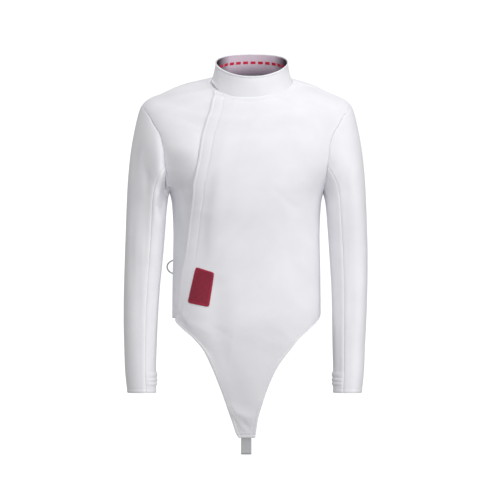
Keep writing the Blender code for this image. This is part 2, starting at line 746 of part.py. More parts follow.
def build_crotch_strap(body):
    """Strap: down behind the apron's tip, round a soft turn, and up to the inside of the back hem."""
    clear = WALL + SEAM_GAP + STRAP_WALL / 2

    def behind_apron(z):
        return np.array([STRAP_X, body_point(0, z)[1] + clear + STRAP_EASE, z])

    def inside_back(z):
        return np.array([STRAP_X, body_point(math.pi, z)[1] - clear - STRAP_EASE, z])

    route = [behind_apron(z) for z in np.linspace(STRAP_TOP_Z, APRON_LEVELS[-1], 4)]
    way = route[-1] - route[-2]
    turn_z = STRAP_LOW_Z + STRAP_TURN + STRAP_WALL / 2
    turn_start = route[-1] + way * (turn_z - route[-1][2]) / way[2]
    route += [route[-1] + (turn_start - route[-1]) * share for share in (1 / 3, 2 / 3)]
    centre = turn_start + np.array([0, STRAP_TURN, 0])
    for degrees in range(0, 181, 30):
        turn = math.radians(degrees)
        route.append(centre + STRAP_TURN * np.array([0, -math.cos(turn), -math.sin(turn)]))
    hem_z = HEM_LEVEL - BACK_HEM_DIP
    start, end = route[-1], inside_back(hem_z - STRAP_EASE)
    for share in np.linspace(0, 1, 9)[1:]:
        bow = np.array([0, STRAP_BOW * math.sin(math.pi * share), 0])
        route.append(start + (end - start) * share + bow)
    route += [inside_back(z) for z in (hem_z + STRAP_SEWN_BACK / 2, hem_z + STRAP_SEWN_BACK)]
    add_ribbon("crotch_strap", route, STRAP_WALL, STRAP_WIDTH, (1, 0, 0), GREY_WEBBING, body)


def patch_place(across, down):
    """(angle, level) of a point of the patch, from its shares across and down."""
    top_left, top_right, low_right, low_left = (np.array(corner) for corner in PATCH_CORNERS)
    top = top_left + (top_right - top_left) * across
    low = low_left + (low_right - low_left) * across
    x, z = top + (low - top) * down
    return place_seen_at(x, z)


def build_hip_patch(body):
    """Points of the front moved out, so that the patch lies on it."""
    columns, rows = PATCH_STEPS
    grids = []
    for depth in (SEAM_GAP + PATCH_WALL, SEAM_GAP):
        grid = []
        for down in np.linspace(0, 1, rows + 1):
            row = []
            for across in np.linspace(0, 1, columns + 1):
                angle, level = patch_place(across, down)
                _, lengths = row_lengths(level, flap_start(level), angle)
                offset = flap_lift(lengths[-1], level) + depth
                row.append(body_point(angle, level) + body_normal(angle, level) * offset)
            grid.append(row)
        grids.append(np.array(grid))
    add_wall("hip_patch", *grids, RED_WEAVE, body)


def ring_seat():
    """(angle, bar centre) of the D-ring on the back, just behind the wearer's right side seam."""
    low, high = SIDE_ANGLE, SIDE_ANGLE + ROW_REACH
    for _ in range(HALVINGS):
        angle = -(low + high) / 2
        bar = body_point(angle, RING_Z) + body_normal(angle, RING_Z) * RING_STAND_OFF
        if bar[0] < RING_BAR_X:
            low = -angle
        else:
            high = -angle
    return angle, bar


def build_ring_tape(body):
    """Tape folded round the D-ring's bar, its two ends sewn to the back one on the other."""
    angle, bar = ring_seat()
    normal = body_normal(angle, RING_Z)
    forward = np.cross(normal, (0, 0, 1))
    angles, lengths = row_lengths(RING_Z, angle, angle - ROW_REACH)
    lower = TAPE_CLEARANCE + TAPE_WALL / 2
    upper = lower + TAPE_WALL + TAPE_CLEARANCE
    loop = RING_WIRE / 2 + TAPE_CLEARANCE + TAPE_WALL / 2

    def on_back(distance, height):
        there = float(np.interp(distance, lengths, angles))
        return body_point(there, RING_Z) + body_normal(there, RING_Z) * height

    route = [on_back(distance, lower) for distance in np.linspace(TAPE_LENGTH, 3, 4)]
    for degrees in range(0, 181, 30):
        turn = math.radians(degrees)
        route.append(bar + loop * (forward * math.sin(turn) - normal * math.cos(turn)))
    route += [on_back(distance, upper) for distance in np.linspace(TAPE_DOUBLE_FROM, TAPE_LENGTH, 3)]
    add_ribbon("ring_tape", route, TAPE_WALL, TAPE_WIDTH, (0, 0, 1), SHADE_CLOTH, body)


def build_d_ring(body):
    """D-ring with its origin on its bar, which is the axis that it swings on; it stands out sideways."""
    _, bar = ring_seat()
    route = [np.array([0, 0, z]) for z in np.linspace(-RING_BAR_HALF, RING_BAR_HALF, 5)]
    for degrees in np.linspace(RING_CORNER, 180 - RING_CORNER, RING_BOW_STEPS):
        turn = math.radians(degrees)
        route.append(np.array([-RING_DEPTH * math.sin(turn), 0, RING_HALF_HEIGHT * math.cos(turn)]))
    plane_normal = np.array([0, 1, 0])
    made = add_closed_wire("d_ring", route, plane_normal, RING_WIRE, RING_SIDES, STEEL, body)
    made.location = to_metres(bar)


def main():
    for old in list(bpy.data.objects):
        bpy.data.objects.remove(old, do_unlink=True)
    body = bpy.data.objects.new("jacket", None)
    bpy.context.collection.objects.link(body)
    build_front_main(body)
    build_front_under(body)
    build_zip(body)
    build_back(body)
    build_sleeves(body)
    build_collar(body)
    build_crotch_strap(body)
    build_hip_patch(body)
    build_ring_tape(body)
    build_d_ring(body)


main()
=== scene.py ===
"""Looks of the fencing jacket: fine cloth shells, sewing, finishes, studio and camera.

The jacket's sizes are millimetres, which the mesh makers turn into Blender's metres; the studio's
are metres. The wearer faces -Y, their left is +X and +Z is up. An angle round the body starts at the
front and runs towards the wearer's left, and a level is the height of a body ring at the wearer's
side.
"""

import logging
import math
from collections.abc import Callable, Sequence
from dataclasses import dataclass, field
from enum import Enum

import bpy
import numpy as np
from mathutils import Matrix, Vector


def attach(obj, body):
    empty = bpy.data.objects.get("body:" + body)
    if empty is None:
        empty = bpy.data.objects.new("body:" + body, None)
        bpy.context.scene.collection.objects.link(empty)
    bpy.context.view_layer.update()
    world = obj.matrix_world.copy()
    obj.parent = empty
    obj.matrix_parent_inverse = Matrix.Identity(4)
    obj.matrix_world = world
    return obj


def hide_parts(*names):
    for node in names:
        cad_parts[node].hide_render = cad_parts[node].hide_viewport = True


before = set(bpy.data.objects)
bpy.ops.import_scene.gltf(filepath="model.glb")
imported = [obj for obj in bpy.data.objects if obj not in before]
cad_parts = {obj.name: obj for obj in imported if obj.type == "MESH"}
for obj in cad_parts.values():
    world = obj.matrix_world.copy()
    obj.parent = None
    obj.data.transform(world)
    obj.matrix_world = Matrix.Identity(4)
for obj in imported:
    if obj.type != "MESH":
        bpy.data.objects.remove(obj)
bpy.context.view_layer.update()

LOG = logging.getLogger("fencing_jacket")
MM = 0.001
JACKET = "jacket"
HIP_RING = "hip_ring"

Array = np.ndarray
Tree = bpy.types.NodeTree
Node = bpy.types.Node
Socket = bpy.types.NodeSocket
Piece = bpy.types.Object
Line = tuple[Array, Array]  # points and normals, or angles and levels
Shape = tuple[Array, list[tuple[int, ...]]]  # points and faces
Seen = Sequence[tuple[float, float]]  # points (x, z) as seen from the front or from behind
CreaseTable = tuple[tuple[tuple[tuple[float, float], ...], float, float], ...]  # line, depth, width
SleeveCreases = tuple[tuple[tuple[float, float, float], float, float], ...]  # (place, turn, place), depth, width

CLOTH_WALL = 2.0  # thickness of the white cloth
THICKNESS_CLAMP = 0.4  # keeps the shells whole in tight folds
SHARP_DEGREES = 55  # facets that meet at more than this show an edge
ROW_SPACING = 4.5  # distance between a panel's rows away from its seams
ARMHOLE_ROWS = 57
HEM_ROWS_TO = 12.0  # height over which a hem's own rows take the place of even ones
HALVINGS = 40  # steps of a search between two limits
SHORT_ROW = 60.0  # length under which the columns beside the seams close up


# Numbers


def unit(vectors: Array) -> Array:
    """Vectors of length 1 in the same directions."""
    vectors = np.asarray(vectors, float)
    return vectors / np.maximum(np.linalg.norm(vectors, axis=-1, keepdims=True), 1e-12)


def smoothstep(value: Array) -> Array:
    """0 below 0, 1 above 1, a soft ramp between."""
    value = np.clip(value, 0, 1)
    return value * value * (3 - 2 * value)


def bell(distance: Array, width: float) -> Array:
    """1 at no distance, fading softly over the width."""
    return np.exp(-((distance / width) ** 2))


def falling(distance: Array, reach: float) -> Array:
    """1 at no distance, falling in a hollow curve to 0 at the reach."""
    return np.clip(1 - distance / reach, 0, 1) ** 2


def lengths_along(points: Array, axis: int) -> Array:
    """Distance of each point of a grid from the first one along an axis."""
    steps = np.linalg.norm(np.diff(points, axis=axis), axis=-1)
    return np.insert(np.cumsum(steps, axis=axis), 0, 0, axis=axis)


class SmoothCurve:
    """A smooth curve through given values that never swings past them."""

    def __init__(self, places: Sequence[float], values: Sequence[float]) -> None:
        """Fit the curve.

        Args:
            places: where the values lie, in any order.
            values: the value at each place.
        """
        order = np.argsort(places)
        self.places = np.asarray(places, float)[order]
        self.values = np.asarray(values, float)[order]
        self.steps = np.diff(self.places)
        rates = np.diff(self.values) / self.steps
        before, after = rates[:-1], rates[1:]
        near = 2 * self.steps[1:] + self.steps[:-1]
        far = self.steps[1:] + 2 * self.steps[:-1]
        same = before * after > 0
        safe_before = np.where(same, before, 1)
        safe_after = np.where(same, after, 1)
        middle = np.where(same, (near + far) / (near / safe_before + far / safe_after), 0)
        self.slopes = np.concatenate([rates[:1], middle, rates[-1:]])

    def __call__(self, place: Array) -> Array:
        """Value at each place."""
        place = np.clip(place, self.places[0], self.places[-1])
        i = np.clip(np.searchsorted(self.places, place, side="right") - 1, 0, len(self.steps) - 1)
        t = (place - self.places[i]) / self.steps[i]
        start = (1 + 2 * t) * (1 - t) ** 2 * self.values[i]
        start = start + t * (1 - t) ** 2 * self.steps[i] * self.slopes[i]
        end = t * t * (3 - 2 * t) * self.values[i + 1]
        return start + end + t * t * (t - 1) * self.steps[i] * self.slopes[i + 1]


class RingTable:
    """A table of rings with one smooth curve for each column, read at any place of its first."""

    def __init__(self, columns: str, rows: Sequence[Sequence[float]]) -> None:
        """Fit the curves.

        Args:
            columns: names of the columns, parted by spaces; the first one is the key.
            rows: one row of numbers for each ring.
        """
        self.columns = columns.split()
        keys = [row[0] for row in rows]
        self.curves = {name: SmoothCurve(keys, [row[i] for row in rows]) for i, name in enumerate(self.columns)}
        self.lowest = min(keys)

    def at(self, place: Array) -> dict[str, Array]:
        """Every column's value at each place."""
        return {name: curve(place) for name, curve in self.curves.items()}


def ellipse_point(ring: dict[str, Array], angle: Array) -> Array:
    """Point of a body or collar ring: a rounded-off ellipse whose front hangs lower than its sides."""
    across, ahead = np.sin(angle), np.cos(angle)
    roundness = 2 / ring["power"]
    x = ring["centre_x"] + ring["half_width"] * np.sign(across) * np.abs(across) ** roundness
    reach = np.where(ahead > 0, ring["front_y"], ring["back_y"]) - ring["centre_y"]
    y = ring["centre_y"] + reach * np.abs(ahead) ** roundness
    tilt = (ring["back_z"] - ring["front_z"]) / 2
    sag = ring["side_z"] - (ring["back_z"] + ring["front_z"]) / 2
    return np.stack(np.broadcast_arrays(x, y, ring["side_z"] - tilt * ahead - sag * ahead**2), axis=-1)


# The worn form


@dataclass(frozen=True)
class BodyForm:
    """The trunk as rings from the neck seam down to the tip of the apron."""

    neck: float = 9.0
    shoulder: float = -39.0
    armpit: float = -222.0
    hem: float = -478.0
    tip: float = -738.5
    side: float = math.pi / 2
    rings: RingTable = RingTable(
        "side_z front_z back_z half_width front_y back_y centre_x centre_y power",
        (
            (9, -21.5, 29, 84.6, -86, 64, 11, -8, 2.0),
            (-3, -38, 11, 142, -91, 72, 2, -7, 2.0),
            (-20, -58, -12, 183, -96, 81, 0, -5, 2.0),
            (-29, -70, -25, 206, -99, 86, 0, -4, 2.0),
            (-39, -83, -40, 217, -101, 90, 0, -3, 2.0),
            (-60, -100, -63, 226, -104, 94, 0, -2, 2.0),
            (-85, -119, -89, 229, -108, 98, 0, -1, 2.0),
            (-110, -138, -113, 226, -111, 101, 0, 0, 2.02),
            (-135, -157, -137, 217, -113, 103, 0, 0, 2.06),
            (-162, -178, -163, 202, -114.5, 104.5, 0, 0, 2.12),
            (-190, -200, -191, 182, -115, 105, 0, 0, 2.2),
            (-222, -226, -222, 162, -114, 103, 0, 0, 2.3),
            (-250, -250, -250, 156, -112, 100, 0, 0, 2.3),
            (-315, -315, -315, 153.3, -104, 92, 0, 0, 2.3),
            (-400, -400, -400, 155, -100, 94, 0, 0, 2.3),
            (-478, -478, -478, 155.6, -101, 102, 0, 0, 2.3),
            (-530, -530, -530, 151, -96, 100, 0, 0, 2.3),
            (-600, -600, -600, 137, -79, 90, 0, 0, 2.2),
            (-670, -670, -670, 112, -54, 70, 0, 0, 2.1),
            (-745, -745, -745, 78, -24, 50, 0, 0, 2.0),
        ),
    )

    def point(self, angle: Array, level: Array) -> Array:
        """Point of the cloth's outer face at each angle and level."""
        angle, level = np.broadcast_arrays(np.asarray(angle, float), np.asarray(level, float))
        return ellipse_point(self.rings.at(level), angle)

    def normal(self, angle: Array, level: Array) -> Array:
        """Unit vector out of the cloth at each angle and level."""
        turn, rise = 0.02, 0.6
        level = np.asarray(level, float)
        around = self.point(angle + turn, level) - self.point(angle - turn, level)
        high, low = np.minimum(level + rise, self.neck), np.maximum(level - rise, self.rings.lowest)
        return unit(np.cross(around, self.point(angle, high) - self.point(angle, low)))

    def angle_seen(self, x: Array, level: Array, behind: bool) -> Array:
        """Angle of the cloth that shows at x on a level."""
        ring = self.rings.at(level)
        share = np.minimum(np.abs(x - ring["centre_x"]) / ring["half_width"], 1) ** (ring["power"] / 2)
        angle = np.copysign(np.arcsin(share), x - ring["centre_x"])
        return np.copysign(math.pi, angle) - angle if behind else angle

    def place_seen(self, x: Array, z: Array, behind: bool = False) -> tuple[Array, Array]:
        """Angle and level of the cloth that shows at x and z from the front, or from behind."""
        x, z = np.broadcast_arrays(np.asarray(x, float), np.asarray(z, float))
        low, high = np.full(x.shape, self.rings.lowest), np.full(x.shape, self.neck)
        for _ in range(HALVINGS):
            level = (low + high) / 2
            above = self.point(self.angle_seen(x, level, behind), level)[..., 2] > z
            high, low = np.where(above, level, high), np.where(above, low, level)
        return self.angle_seen(x, level, behind), level

    def traced(self, seen: Seen, behind: bool = False) -> Line:
        """Angles and levels of a line of points (x, z)."""
        return self.place_seen([x for x, _ in seen], [z for _, z in seen], behind)

    def armhole(self, turn: Array) -> Array:
        """Level of the armhole's seam at a turn, from 0 at the shoulder to 1 at the armpit."""
        return (self.shoulder + self.armpit) / 2 + (self.shoulder - self.armpit) / 2 * np.cos(math.pi * turn)

    def edge(self, seen: Seen, ends: Seen, behind: bool = False) -> SmoothCurve:
        """A cut edge as its angle at each level.

        Args:
            seen: points (x, z) of the edge as seen from the front or from behind.
            ends: places (angle, level) where it starts or ends.
            behind: whether the points are seen from behind.

        Returns:
            The curve of the angle over the level.
        """
        angles, levels = self.traced(seen, behind)
        return SmoothCurve([*levels, *(level for _, level in ends)], [*angles, *(angle for angle, _ in ends)])

    def levels(self, first: float, last: float, spacing: float, dense: Sequence[float] = ()) -> Array:
        """Levels from first down to last, about evenly spaced on the cloth.

        Args:
            first: the upper level.
            last: the lower level.
            spacing: distance between rows in the middle.
            dense: distances from the upper level where rows must lie.

        Returns:
            The levels, both ends among them.
        """
        fine = np.linspace(first, last, 400)
        turns = np.linspace(-1.2, 1.2, 7)
        steps = lengths_along(self.point(turns[None, :], fine[:, None]), 0).mean(axis=1)
        even = np.linspace(0, steps[-1], max(2, int(round(steps[-1] / spacing)) + 1))
        wanted = [d for d in dense if 0 < d < steps[-1]]
        kept = [d for d in even if all(abs(d - w) > spacing / 3 for w in wanted)]
        return np.interp(sorted(kept + wanted), steps, fine)


BODY = BodyForm()


@dataclass(frozen=True)
class Edges:
    """The seams and cut edges of the body panels, as angles over levels."""

    front_armhole: SmoothCurve
    back_armhole: SmoothCurve
    flap: SmoothCurve
    apron_right: SmoothCurve
    apron_left: SmoothCurve

    @classmethod
    def cut(cls) -> "Edges":
        """The edges of this jacket, from the places where they show."""
        ends = ((BODY.side, BODY.shoulder), (BODY.side, BODY.armpit))
        front = ((206, -60), (194, -82), (182, -102), (175, -128), (172, -160), (168, -190), (164.3, -210))
        back = ((207, -60), (197, -82), (188, -102), (181, -128), (177, -160), (171, -190), (165, -210))
        flap = BODY.edge(
            (
                (-65.5, -21.6), (-73.7, -40), (-83.6, -71), (-93.7, -107), (-99.5, -145), (-106, -178.5),
                (-111.7, -218), (-120, -290), (-127.3, -348.6), (-135, -395), (-140.5, -440), (-145, -480),
            ),
            ((math.radians(-53), BODY.neck),),
        )
        apron = (
            (-491, -148, 151), (-502, -139.7, 141), (-529, -110, 111), (-556, -89, 90), (-584, -75.5, 69.7),
            (-604, -66.8, 58.5), (-637, -54, 44.3), (-668, -43, 33.4), (-704, -30.5, 23.5),
            (-731, -21.5, 19.8), (-738.5, -16, 18.5),
        )
        flap_foot = (float(flap(BODY.hem)), BODY.hem)
        return cls(
            front_armhole=BODY.edge(front, ends),
            back_armhole=BODY.edge(back, ends, behind=True),
            flap=flap,
            apron_right=BODY.edge([(right, z) for z, right, _ in apron], (flap_foot,)),
            apron_left=BODY.edge([(left, z) for z, _, left in apron], ((BODY.side, BODY.hem),)),
        )

    @staticmethod
    def limit(level: Array, armhole: SmoothCurve) -> Array:
        """Angle of the armhole on the levels that have one, and of the side seam elsewhere."""
        return np.where((level < BODY.shoulder) & (level > BODY.armpit), armhole(level), BODY.side)

    def front_limit(self, level: Array) -> Array:
        """Angle where a front panel ends at the wearer's side."""
        return self.limit(level, self.front_armhole)

    def back_limit(self, level: Array) -> Array:
        """Angle where the back ends at the wearer's side, from 90 degrees up."""
        limit = self.limit(level, self.back_armhole)
        return np.where(limit > BODY.side, limit, math.pi - limit)

    def flap_start(self, level: Array) -> Array:
        """Angle of the flap's free edge, and of the apron's below the hem."""
        return np.where(level >= BODY.hem, self.flap(level), self.apron_right(level))


EDGES = Edges.cut()


@dataclass(frozen=True)
class Flap:
    """How the flap stands out over the under front, and how far the under front runs below it."""

    lift: float = 2.3
    held_to: float = 50.0
    gone_at: float = 82.0
    sinks_from: float = -500.0
    sunk_at: float = -545.0
    underlap: float = 26.0
    zip_width: float = 24.0

    def height(self, distance: Array, level: Array) -> Array:
        """Lift of the main front at a distance from the flap's edge."""
        across = np.clip((self.gone_at - distance) / (self.gone_at - self.held_to), 0, 1)
        down = np.clip((level - self.sunk_at) / (self.sinks_from - self.sunk_at), 0, 1)
        return self.lift * across * down


FLAP = Flap()


# Sewing and folds


@dataclass(frozen=True)
class Edging:
    """How an edge of a panel is finished: a rolled edge or seam, a swell inside it, stitch rows."""

    roll: float = 0.7
    reach: float = 2.0
    swell: float = 0.0
    swell_at: float = 4.0
    swell_width: float = 3.0
    rows: tuple[float, ...] = ()
    row_dip: float = 0.45
    fine: tuple[float, ...] = (1.0, 2.0, 3.2, 4.8, 7.0)

    def distances(self) -> list[float]:
        """Distances from the edge where the panel needs points."""
        around_rows = [row + step for row in self.rows for step in (-1.4, -0.7, 0, 0.7, 1.4)]
        kept = [d for d in self.fine if all(abs(d - other) > 0.5 for other in around_rows)]
        return sorted(d for d in kept + around_rows if d > 0.3)

    def height(self, distance: Array) -> Array:
        """How far the cloth stands out at a distance from the edge."""
        rolled = -self.roll * falling(distance, self.reach)
        height = rolled + self.swell * bell(distance - self.swell_at, self.swell_width)
        for row in self.rows:
            height = height - self.row_dip * bell(distance - row, 1.0)
        return height


SEAM = Edging(roll=1.1, reach=4.5, swell=0.35, swell_at=6.0, swell_width=3.0, fine=(1.2, 2.6, 4.2, 6.2, 9.0))
SLEEVE_SEAM = Edging(
    roll=2.2, reach=2.4, swell=0.3, swell_at=5.2, swell_width=2.6, fine=(0.5, 1.1, 2.0, 3.2, 5.2, 8.0)
)
NECK_SEAM = Edging(roll=0.2, reach=2.0, swell=0.45, swell_at=5.0, swell_width=3.0, rows=(11.0,))
FLAP_EDGE = Edging(roll=1.2, reach=2.0, swell=1.5, swell_at=3.0, swell_width=8.0, rows=(6.2, 24.0), row_dip=0.6)
HEM = Edging(roll=0.7, reach=1.6, swell=0.4, swell_at=3.6, swell_width=2.6, rows=(7.2,), row_dip=0.5)


@dataclass(frozen=True)
class Crease:
    """A soft trough or ridge of cloth along a short line of points in space."""

    points: tuple[tuple[float, float, float], ...]
    depth: float
    width: float

    def height(self, surface: Array) -> Array:
        """How far the crease moves each point of a surface outwards.

        Args:
            surface: points of the cloth.

        Returns:
            The height at each point, negative in a trough.
        """
        line = np.array(self.points, float)
        lengths = lengths_along(line, 0)
        best = np.full(surface.shape[:-1], np.inf)
        along = np.zeros(surface.shape[:-1])
        for start, end, begin in zip(line, line[1:], lengths):
            way = end - start
            share = np.clip((surface - start) @ way / (way @ way), 0, 1)
            away = np.linalg.norm(surface - start - share[..., None] * way, axis=-1)
            nearer = away < best
            best = np.where(nearer, away, best)
            along = np.where(nearer, begin + share * np.linalg.norm(way), along)
        share = along / lengths[-1]
        return self.depth * bell(best, self.width) * np.sin(math.pi * np.clip(share, 0.02, 0.98)) ** 0.7


def creased(points: Array, creases: CreaseTable, behind: bool = False) -> Array:
    """Height of the trunk's creases at some points of the cloth.

    Args:
        points: the points.
        creases: for each crease its line (x, z) as seen, its depth, negative for a trough, and its width.
        behind: whether the lines are seen from behind.

    Returns:
        The height at each point.
    """
    height = np.zeros(points.shape[:-1])
    for seen, depth, width in creases:
        line = BODY.point(*BODY.traced(seen, behind))
        height = height + Crease(tuple(map(tuple, line)), depth, width).height(points)
    return height


@dataclass
class Panel:
    """A grid of points on the cloth's outer face, with the distances to its four edges."""

    points: Array
    normals: Array
    from_start: Array = field(init=False)
    from_end: Array = field(init=False)
    from_top: Array = field(init=False)
    from_foot: Array = field(init=False)

    def __post_init__(self) -> None:
        """Measure the grid."""
        along, down = lengths_along(self.points, 1), lengths_along(self.points, 0)
        self.from_start, self.from_end = along, along[:, -1:] - along
        self.from_top, self.from_foot = down, down[-1:] - down

    @property
    def cut(self) -> tuple[float, float]:
        """Greatest width and length of the cloth, in metres."""
        return float(self.from_start[:, -1].max()) * MM, float(self.from_top[-1].max()) * MM

    @property
    def area(self) -> float:
        """Area of the cloth in square metres."""
        p = self.points
        one = np.cross(p[1:, :-1] - p[:-1, :-1], p[:-1, 1:] - p[:-1, :-1])
        two = np.cross(p[1:, :-1] - p[1:, 1:], p[:-1, 1:] - p[1:, 1:])
        return float((np.linalg.norm(one, axis=-1) + np.linalg.norm(two, axis=-1)).sum() / 2) * MM * MM

    def raised(self, height: Array) -> "Panel":
        """The same panel with its points moved out by a height."""
        return Panel(self.points + self.normals * np.asarray(height)[..., None], self.normals)


def spread(length: float, start: Sequence[float], end: Sequence[float], middle: int, short: float) -> Array:
    """Distances along a row: the edges' own ones first and last, even ones between.

    Args:
        length: the row's length.
        start: distances wanted from the row's start.
        end: distances wanted from its end.
        middle: number of even steps between them.
        short: length under which the edges' distances shrink with the row.

    Returns:
        The distances, 0 and the length among them.
    """
    scale = min(1.0, length / short)
    first = np.array([0.0, *start]) * scale
    last = length - np.array([*sorted(end, reverse=True), 0.0]) * scale
    return np.concatenate([first, np.linspace(first[-1], last[0], middle + 1)[1:-1], last])


def panel_rows(
    levels: Array,
    start: Callable[[Array], Array],
    end: Callable[[Array], Array],
    distances: Callable[[float], Array],
) -> tuple[Array, Array]:
    """Places of a body panel's points.

    Args:
        levels: the panel's rows.
        start: angle where each level starts.
        end: angle where each level ends.
        distances: distances along a row of a given length.

    Returns:
        The angles and the levels, one row for each level.
    """
    shares = np.linspace(0, 1, 121)[None, :]
    first, last = start(levels)[:, None], end(levels)[:, None]
    angles = first + (last - first) * shares
    lengths = lengths_along(BODY.point(angles, levels[:, None]), 1)
    rows = [np.interp(distances(length[-1]), length, row) for row, length in zip(angles, lengths)]
    return np.array(rows), np.repeat(levels[:, None], len(rows[0]), axis=1)


# Meshes


def deselect_all() -> None:
    """Nothing is selected, so that an operator acts on new pieces alone."""
    for chosen in list(bpy.context.selected_objects):
        chosen.select_set(False)


def make_active(piece: Piece) -> None:
    """Only this piece is selected, and it is the active one."""
    deselect_all()
    piece.select_set(True)
    bpy.context.view_layer.objects.active = piece


def name_piece(piece: Piece, name: str, finish: "Finish") -> Piece:
    """Give a new piece its name and its finish."""
    piece.name = name
    piece.data.name = name
    piece.data.materials.clear()
    piece.data.materials.append(finish.material())
    return piece


def apply_modifiers(piece: Piece) -> None:
    """Apply every modifier in order."""
    make_active(piece)
    for modifier in list(piece.modifiers):
        bpy.ops.object.modifier_apply(modifier=modifier.name)


def cloth_sheet(name: str, panel: Panel, wall: float, finish: "Finish") -> Piece:
    """A thin shell of cloth on a panel, with its UV map in metres along the cloth.

    Args:
        name: the piece's name.
        panel: its outer face; rows run downwards, columns towards the wearer's left at the front.
        wall: its thickness in mm.
        finish: its finish.

    Returns:
        The piece.
    """
    points = panel.points[::-1] * MM
    u, v = panel.from_start[::-1] * MM, panel.from_foot[::-1] * MM
    rows, columns = points.shape[:2]
    deselect_all()
    bpy.ops.mesh.primitive_grid_add(x_subdivisions=columns - 1, y_subdivisions=rows - 1, size=1)
    piece = bpy.context.object
    mesh = piece.data
    if len(mesh.vertices) != rows * columns:
        raise ValueError(f"{name}: the grid has {len(mesh.vertices)} points, not {rows} x {columns}")
    mesh.vertices.foreach_set("co", points.reshape(-1).astype(np.float32))
    corners = np.empty(len(mesh.loops), np.int32)
    mesh.loops.foreach_get("vertex_index", corners)
    laid = np.stack([u.reshape(-1)[corners], v.reshape(-1)[corners]], axis=1)
    mesh.uv_layers[0].data.foreach_set("uv", laid.reshape(-1).astype(np.float32))
    mesh.update()
    solid = piece.modifiers.new("wall", "SOLIDIFY")
    solid.thickness = wall * MM
    solid.offset = -1
    solid.use_even_offset = True
    solid.thickness_clamp = THICKNESS_CLAMP
    apply_modifiers(piece)
    piece.data.shade_smooth()
    piece.data.set_sharp_from_angle(angle=math.radians(SHARP_DEGREES))
    return name_piece(piece, name, finish)


def read_along(values: Array, lengths: Array, places: Array) -> Array:
    """A line's points or normals at some distances along it."""
    return np.stack([np.interp(places, lengths, values[:, k]) for k in range(3)], axis=1)


def take_shape() -> Shape:
    """Points and faces of the active primitive, which is removed."""
    block = bpy.context.object
    points = np.array([tuple(vertex.co) for vertex in block.data.vertices])
    faces = [tuple(face.vertices) for face in block.data.polygons]
    bpy.data.objects.remove(block, do_unlink=True)
    return points, faces


def repeat_shape(name: str, shape: Shape, centres: Array, axes: Sequence[Array], finish: "Finish") -> Piece:
    """Many copies of a small shape as one mesh, each turned to its own axes.

    Args:
        name: the piece's name.
        shape: one copy.
        centres: where the copies stand.
        axes: for each axis of the shape, its direction at each copy.
        finish: the piece's finish.

    Returns:
        The piece.
    """
    points, faces = shape
    turned = sum(points[None, :, k : k + 1] * axis[:, None] for k, axis in enumerate(axes))
    placed = (turned + centres[:, None]).reshape(-1, 3) * MM
    joined = [tuple(k + i * len(points) for k in face) for i in range(len(centres)) for face in faces]
    mesh = bpy.data.meshes.new(name)
    mesh.from_pydata(placed.tolist(), [], joined)
    piece = bpy.data.objects.new(name, mesh)
    bpy.context.collection.objects.link(piece)
    return name_piece(piece, name, finish)


@dataclass(frozen=True)
class Thread:
    """Sewing thread as it lies in a row of stitches."""

    stitch: float = 2.3
    gap: float = 0.8
    thickness: float = 0.55
    bed: float = 0.12
    bluntness: float = 0.7

    def template(self) -> Shape:
        """One stitch along X, made from a small sphere with blunt ends."""
        deselect_all()
        bpy.ops.mesh.primitive_uv_sphere_add(segments=6, ring_count=4, radius=0.5)
        points, faces = take_shape()
        points = points[:, [2, 0, 1]] * (self.stitch, self.thickness, self.thickness)
        reach = (np.abs(points[:, 0]) / self.stitch * 2) ** self.bluntness
        points[:, 0] = np.sign(points[:, 0]) * reach * self.stitch / 2
        return points, faces

    def sew(self, name: str, runs: Sequence[Line], finish: "Finish") -> Piece:
        """All stitches along some lines, as one joined mesh.

        Args:
            name: the piece's name.
            runs: points and normals of each line.
            finish: the thread's finish.

        Returns:
            The piece.
        """
        rows = []
        for line, normals in runs:
            lengths = lengths_along(line, 0)
            count = int(lengths[-1] // (self.stitch + self.gap))
            places = (np.arange(count) + 0.5) * lengths[-1] / max(count, 1)
            up = unit(read_along(normals, lengths, places))
            way = unit(read_along(line, lengths, places + 0.5) - read_along(line, lengths, places - 0.5))
            centres = read_along(line, lengths, places) + up * self.bed
            rows.append((centres, way, unit(np.cross(up, way)), up))
        centres, *axes = (np.concatenate(parts) for parts in zip(*rows))
        sewn = repeat_shape(name, self.template(), centres, axes, finish)
        sewn.data.shade_smooth()
        return sewn


THREAD = Thread()


def picked_run(panel: Panel, misses: Array, axis: int, kept: slice) -> Line:
    """A line of a panel's points: on each row (axis 1) or column (axis 0) the one that misses least."""
    picked = np.argmin(misses, axis=axis)
    index = np.arange(len(picked))
    where = (index, picked) if axis else (picked, index)
    return panel.points[where][kept], panel.normals[where][kept]


def column_run(panel: Panel, distance: float, from_end: bool = False, rows: slice = slice(None)) -> Line:
    """The line at a distance from a panel's first or last column."""
    away = panel.from_end if from_end else panel.from_start
    return picked_run(panel, np.abs(away - distance), 1, rows)


def row_run(panel: Panel, distance: float, from_foot: bool = False, columns: slice = slice(None)) -> Line:
    """The line at a distance from a panel's top or foot."""
    away = panel.from_foot if from_foot else panel.from_top
    return picked_run(panel, np.abs(away - distance), 0, columns)


# Finishes


def linear(code: str) -> tuple[float, float, float, float]:
    """Blender's linear colour of an sRGB hex code."""
    parts = [int(code[i : i + 2], 16) / 255 for i in (1, 3, 5)]
    red, green, blue = (c / 12.92 if c <= 0.04045 else ((c + 0.055) / 1.055) ** 2.4 for c in parts)
    return red, green, blue, 1.0


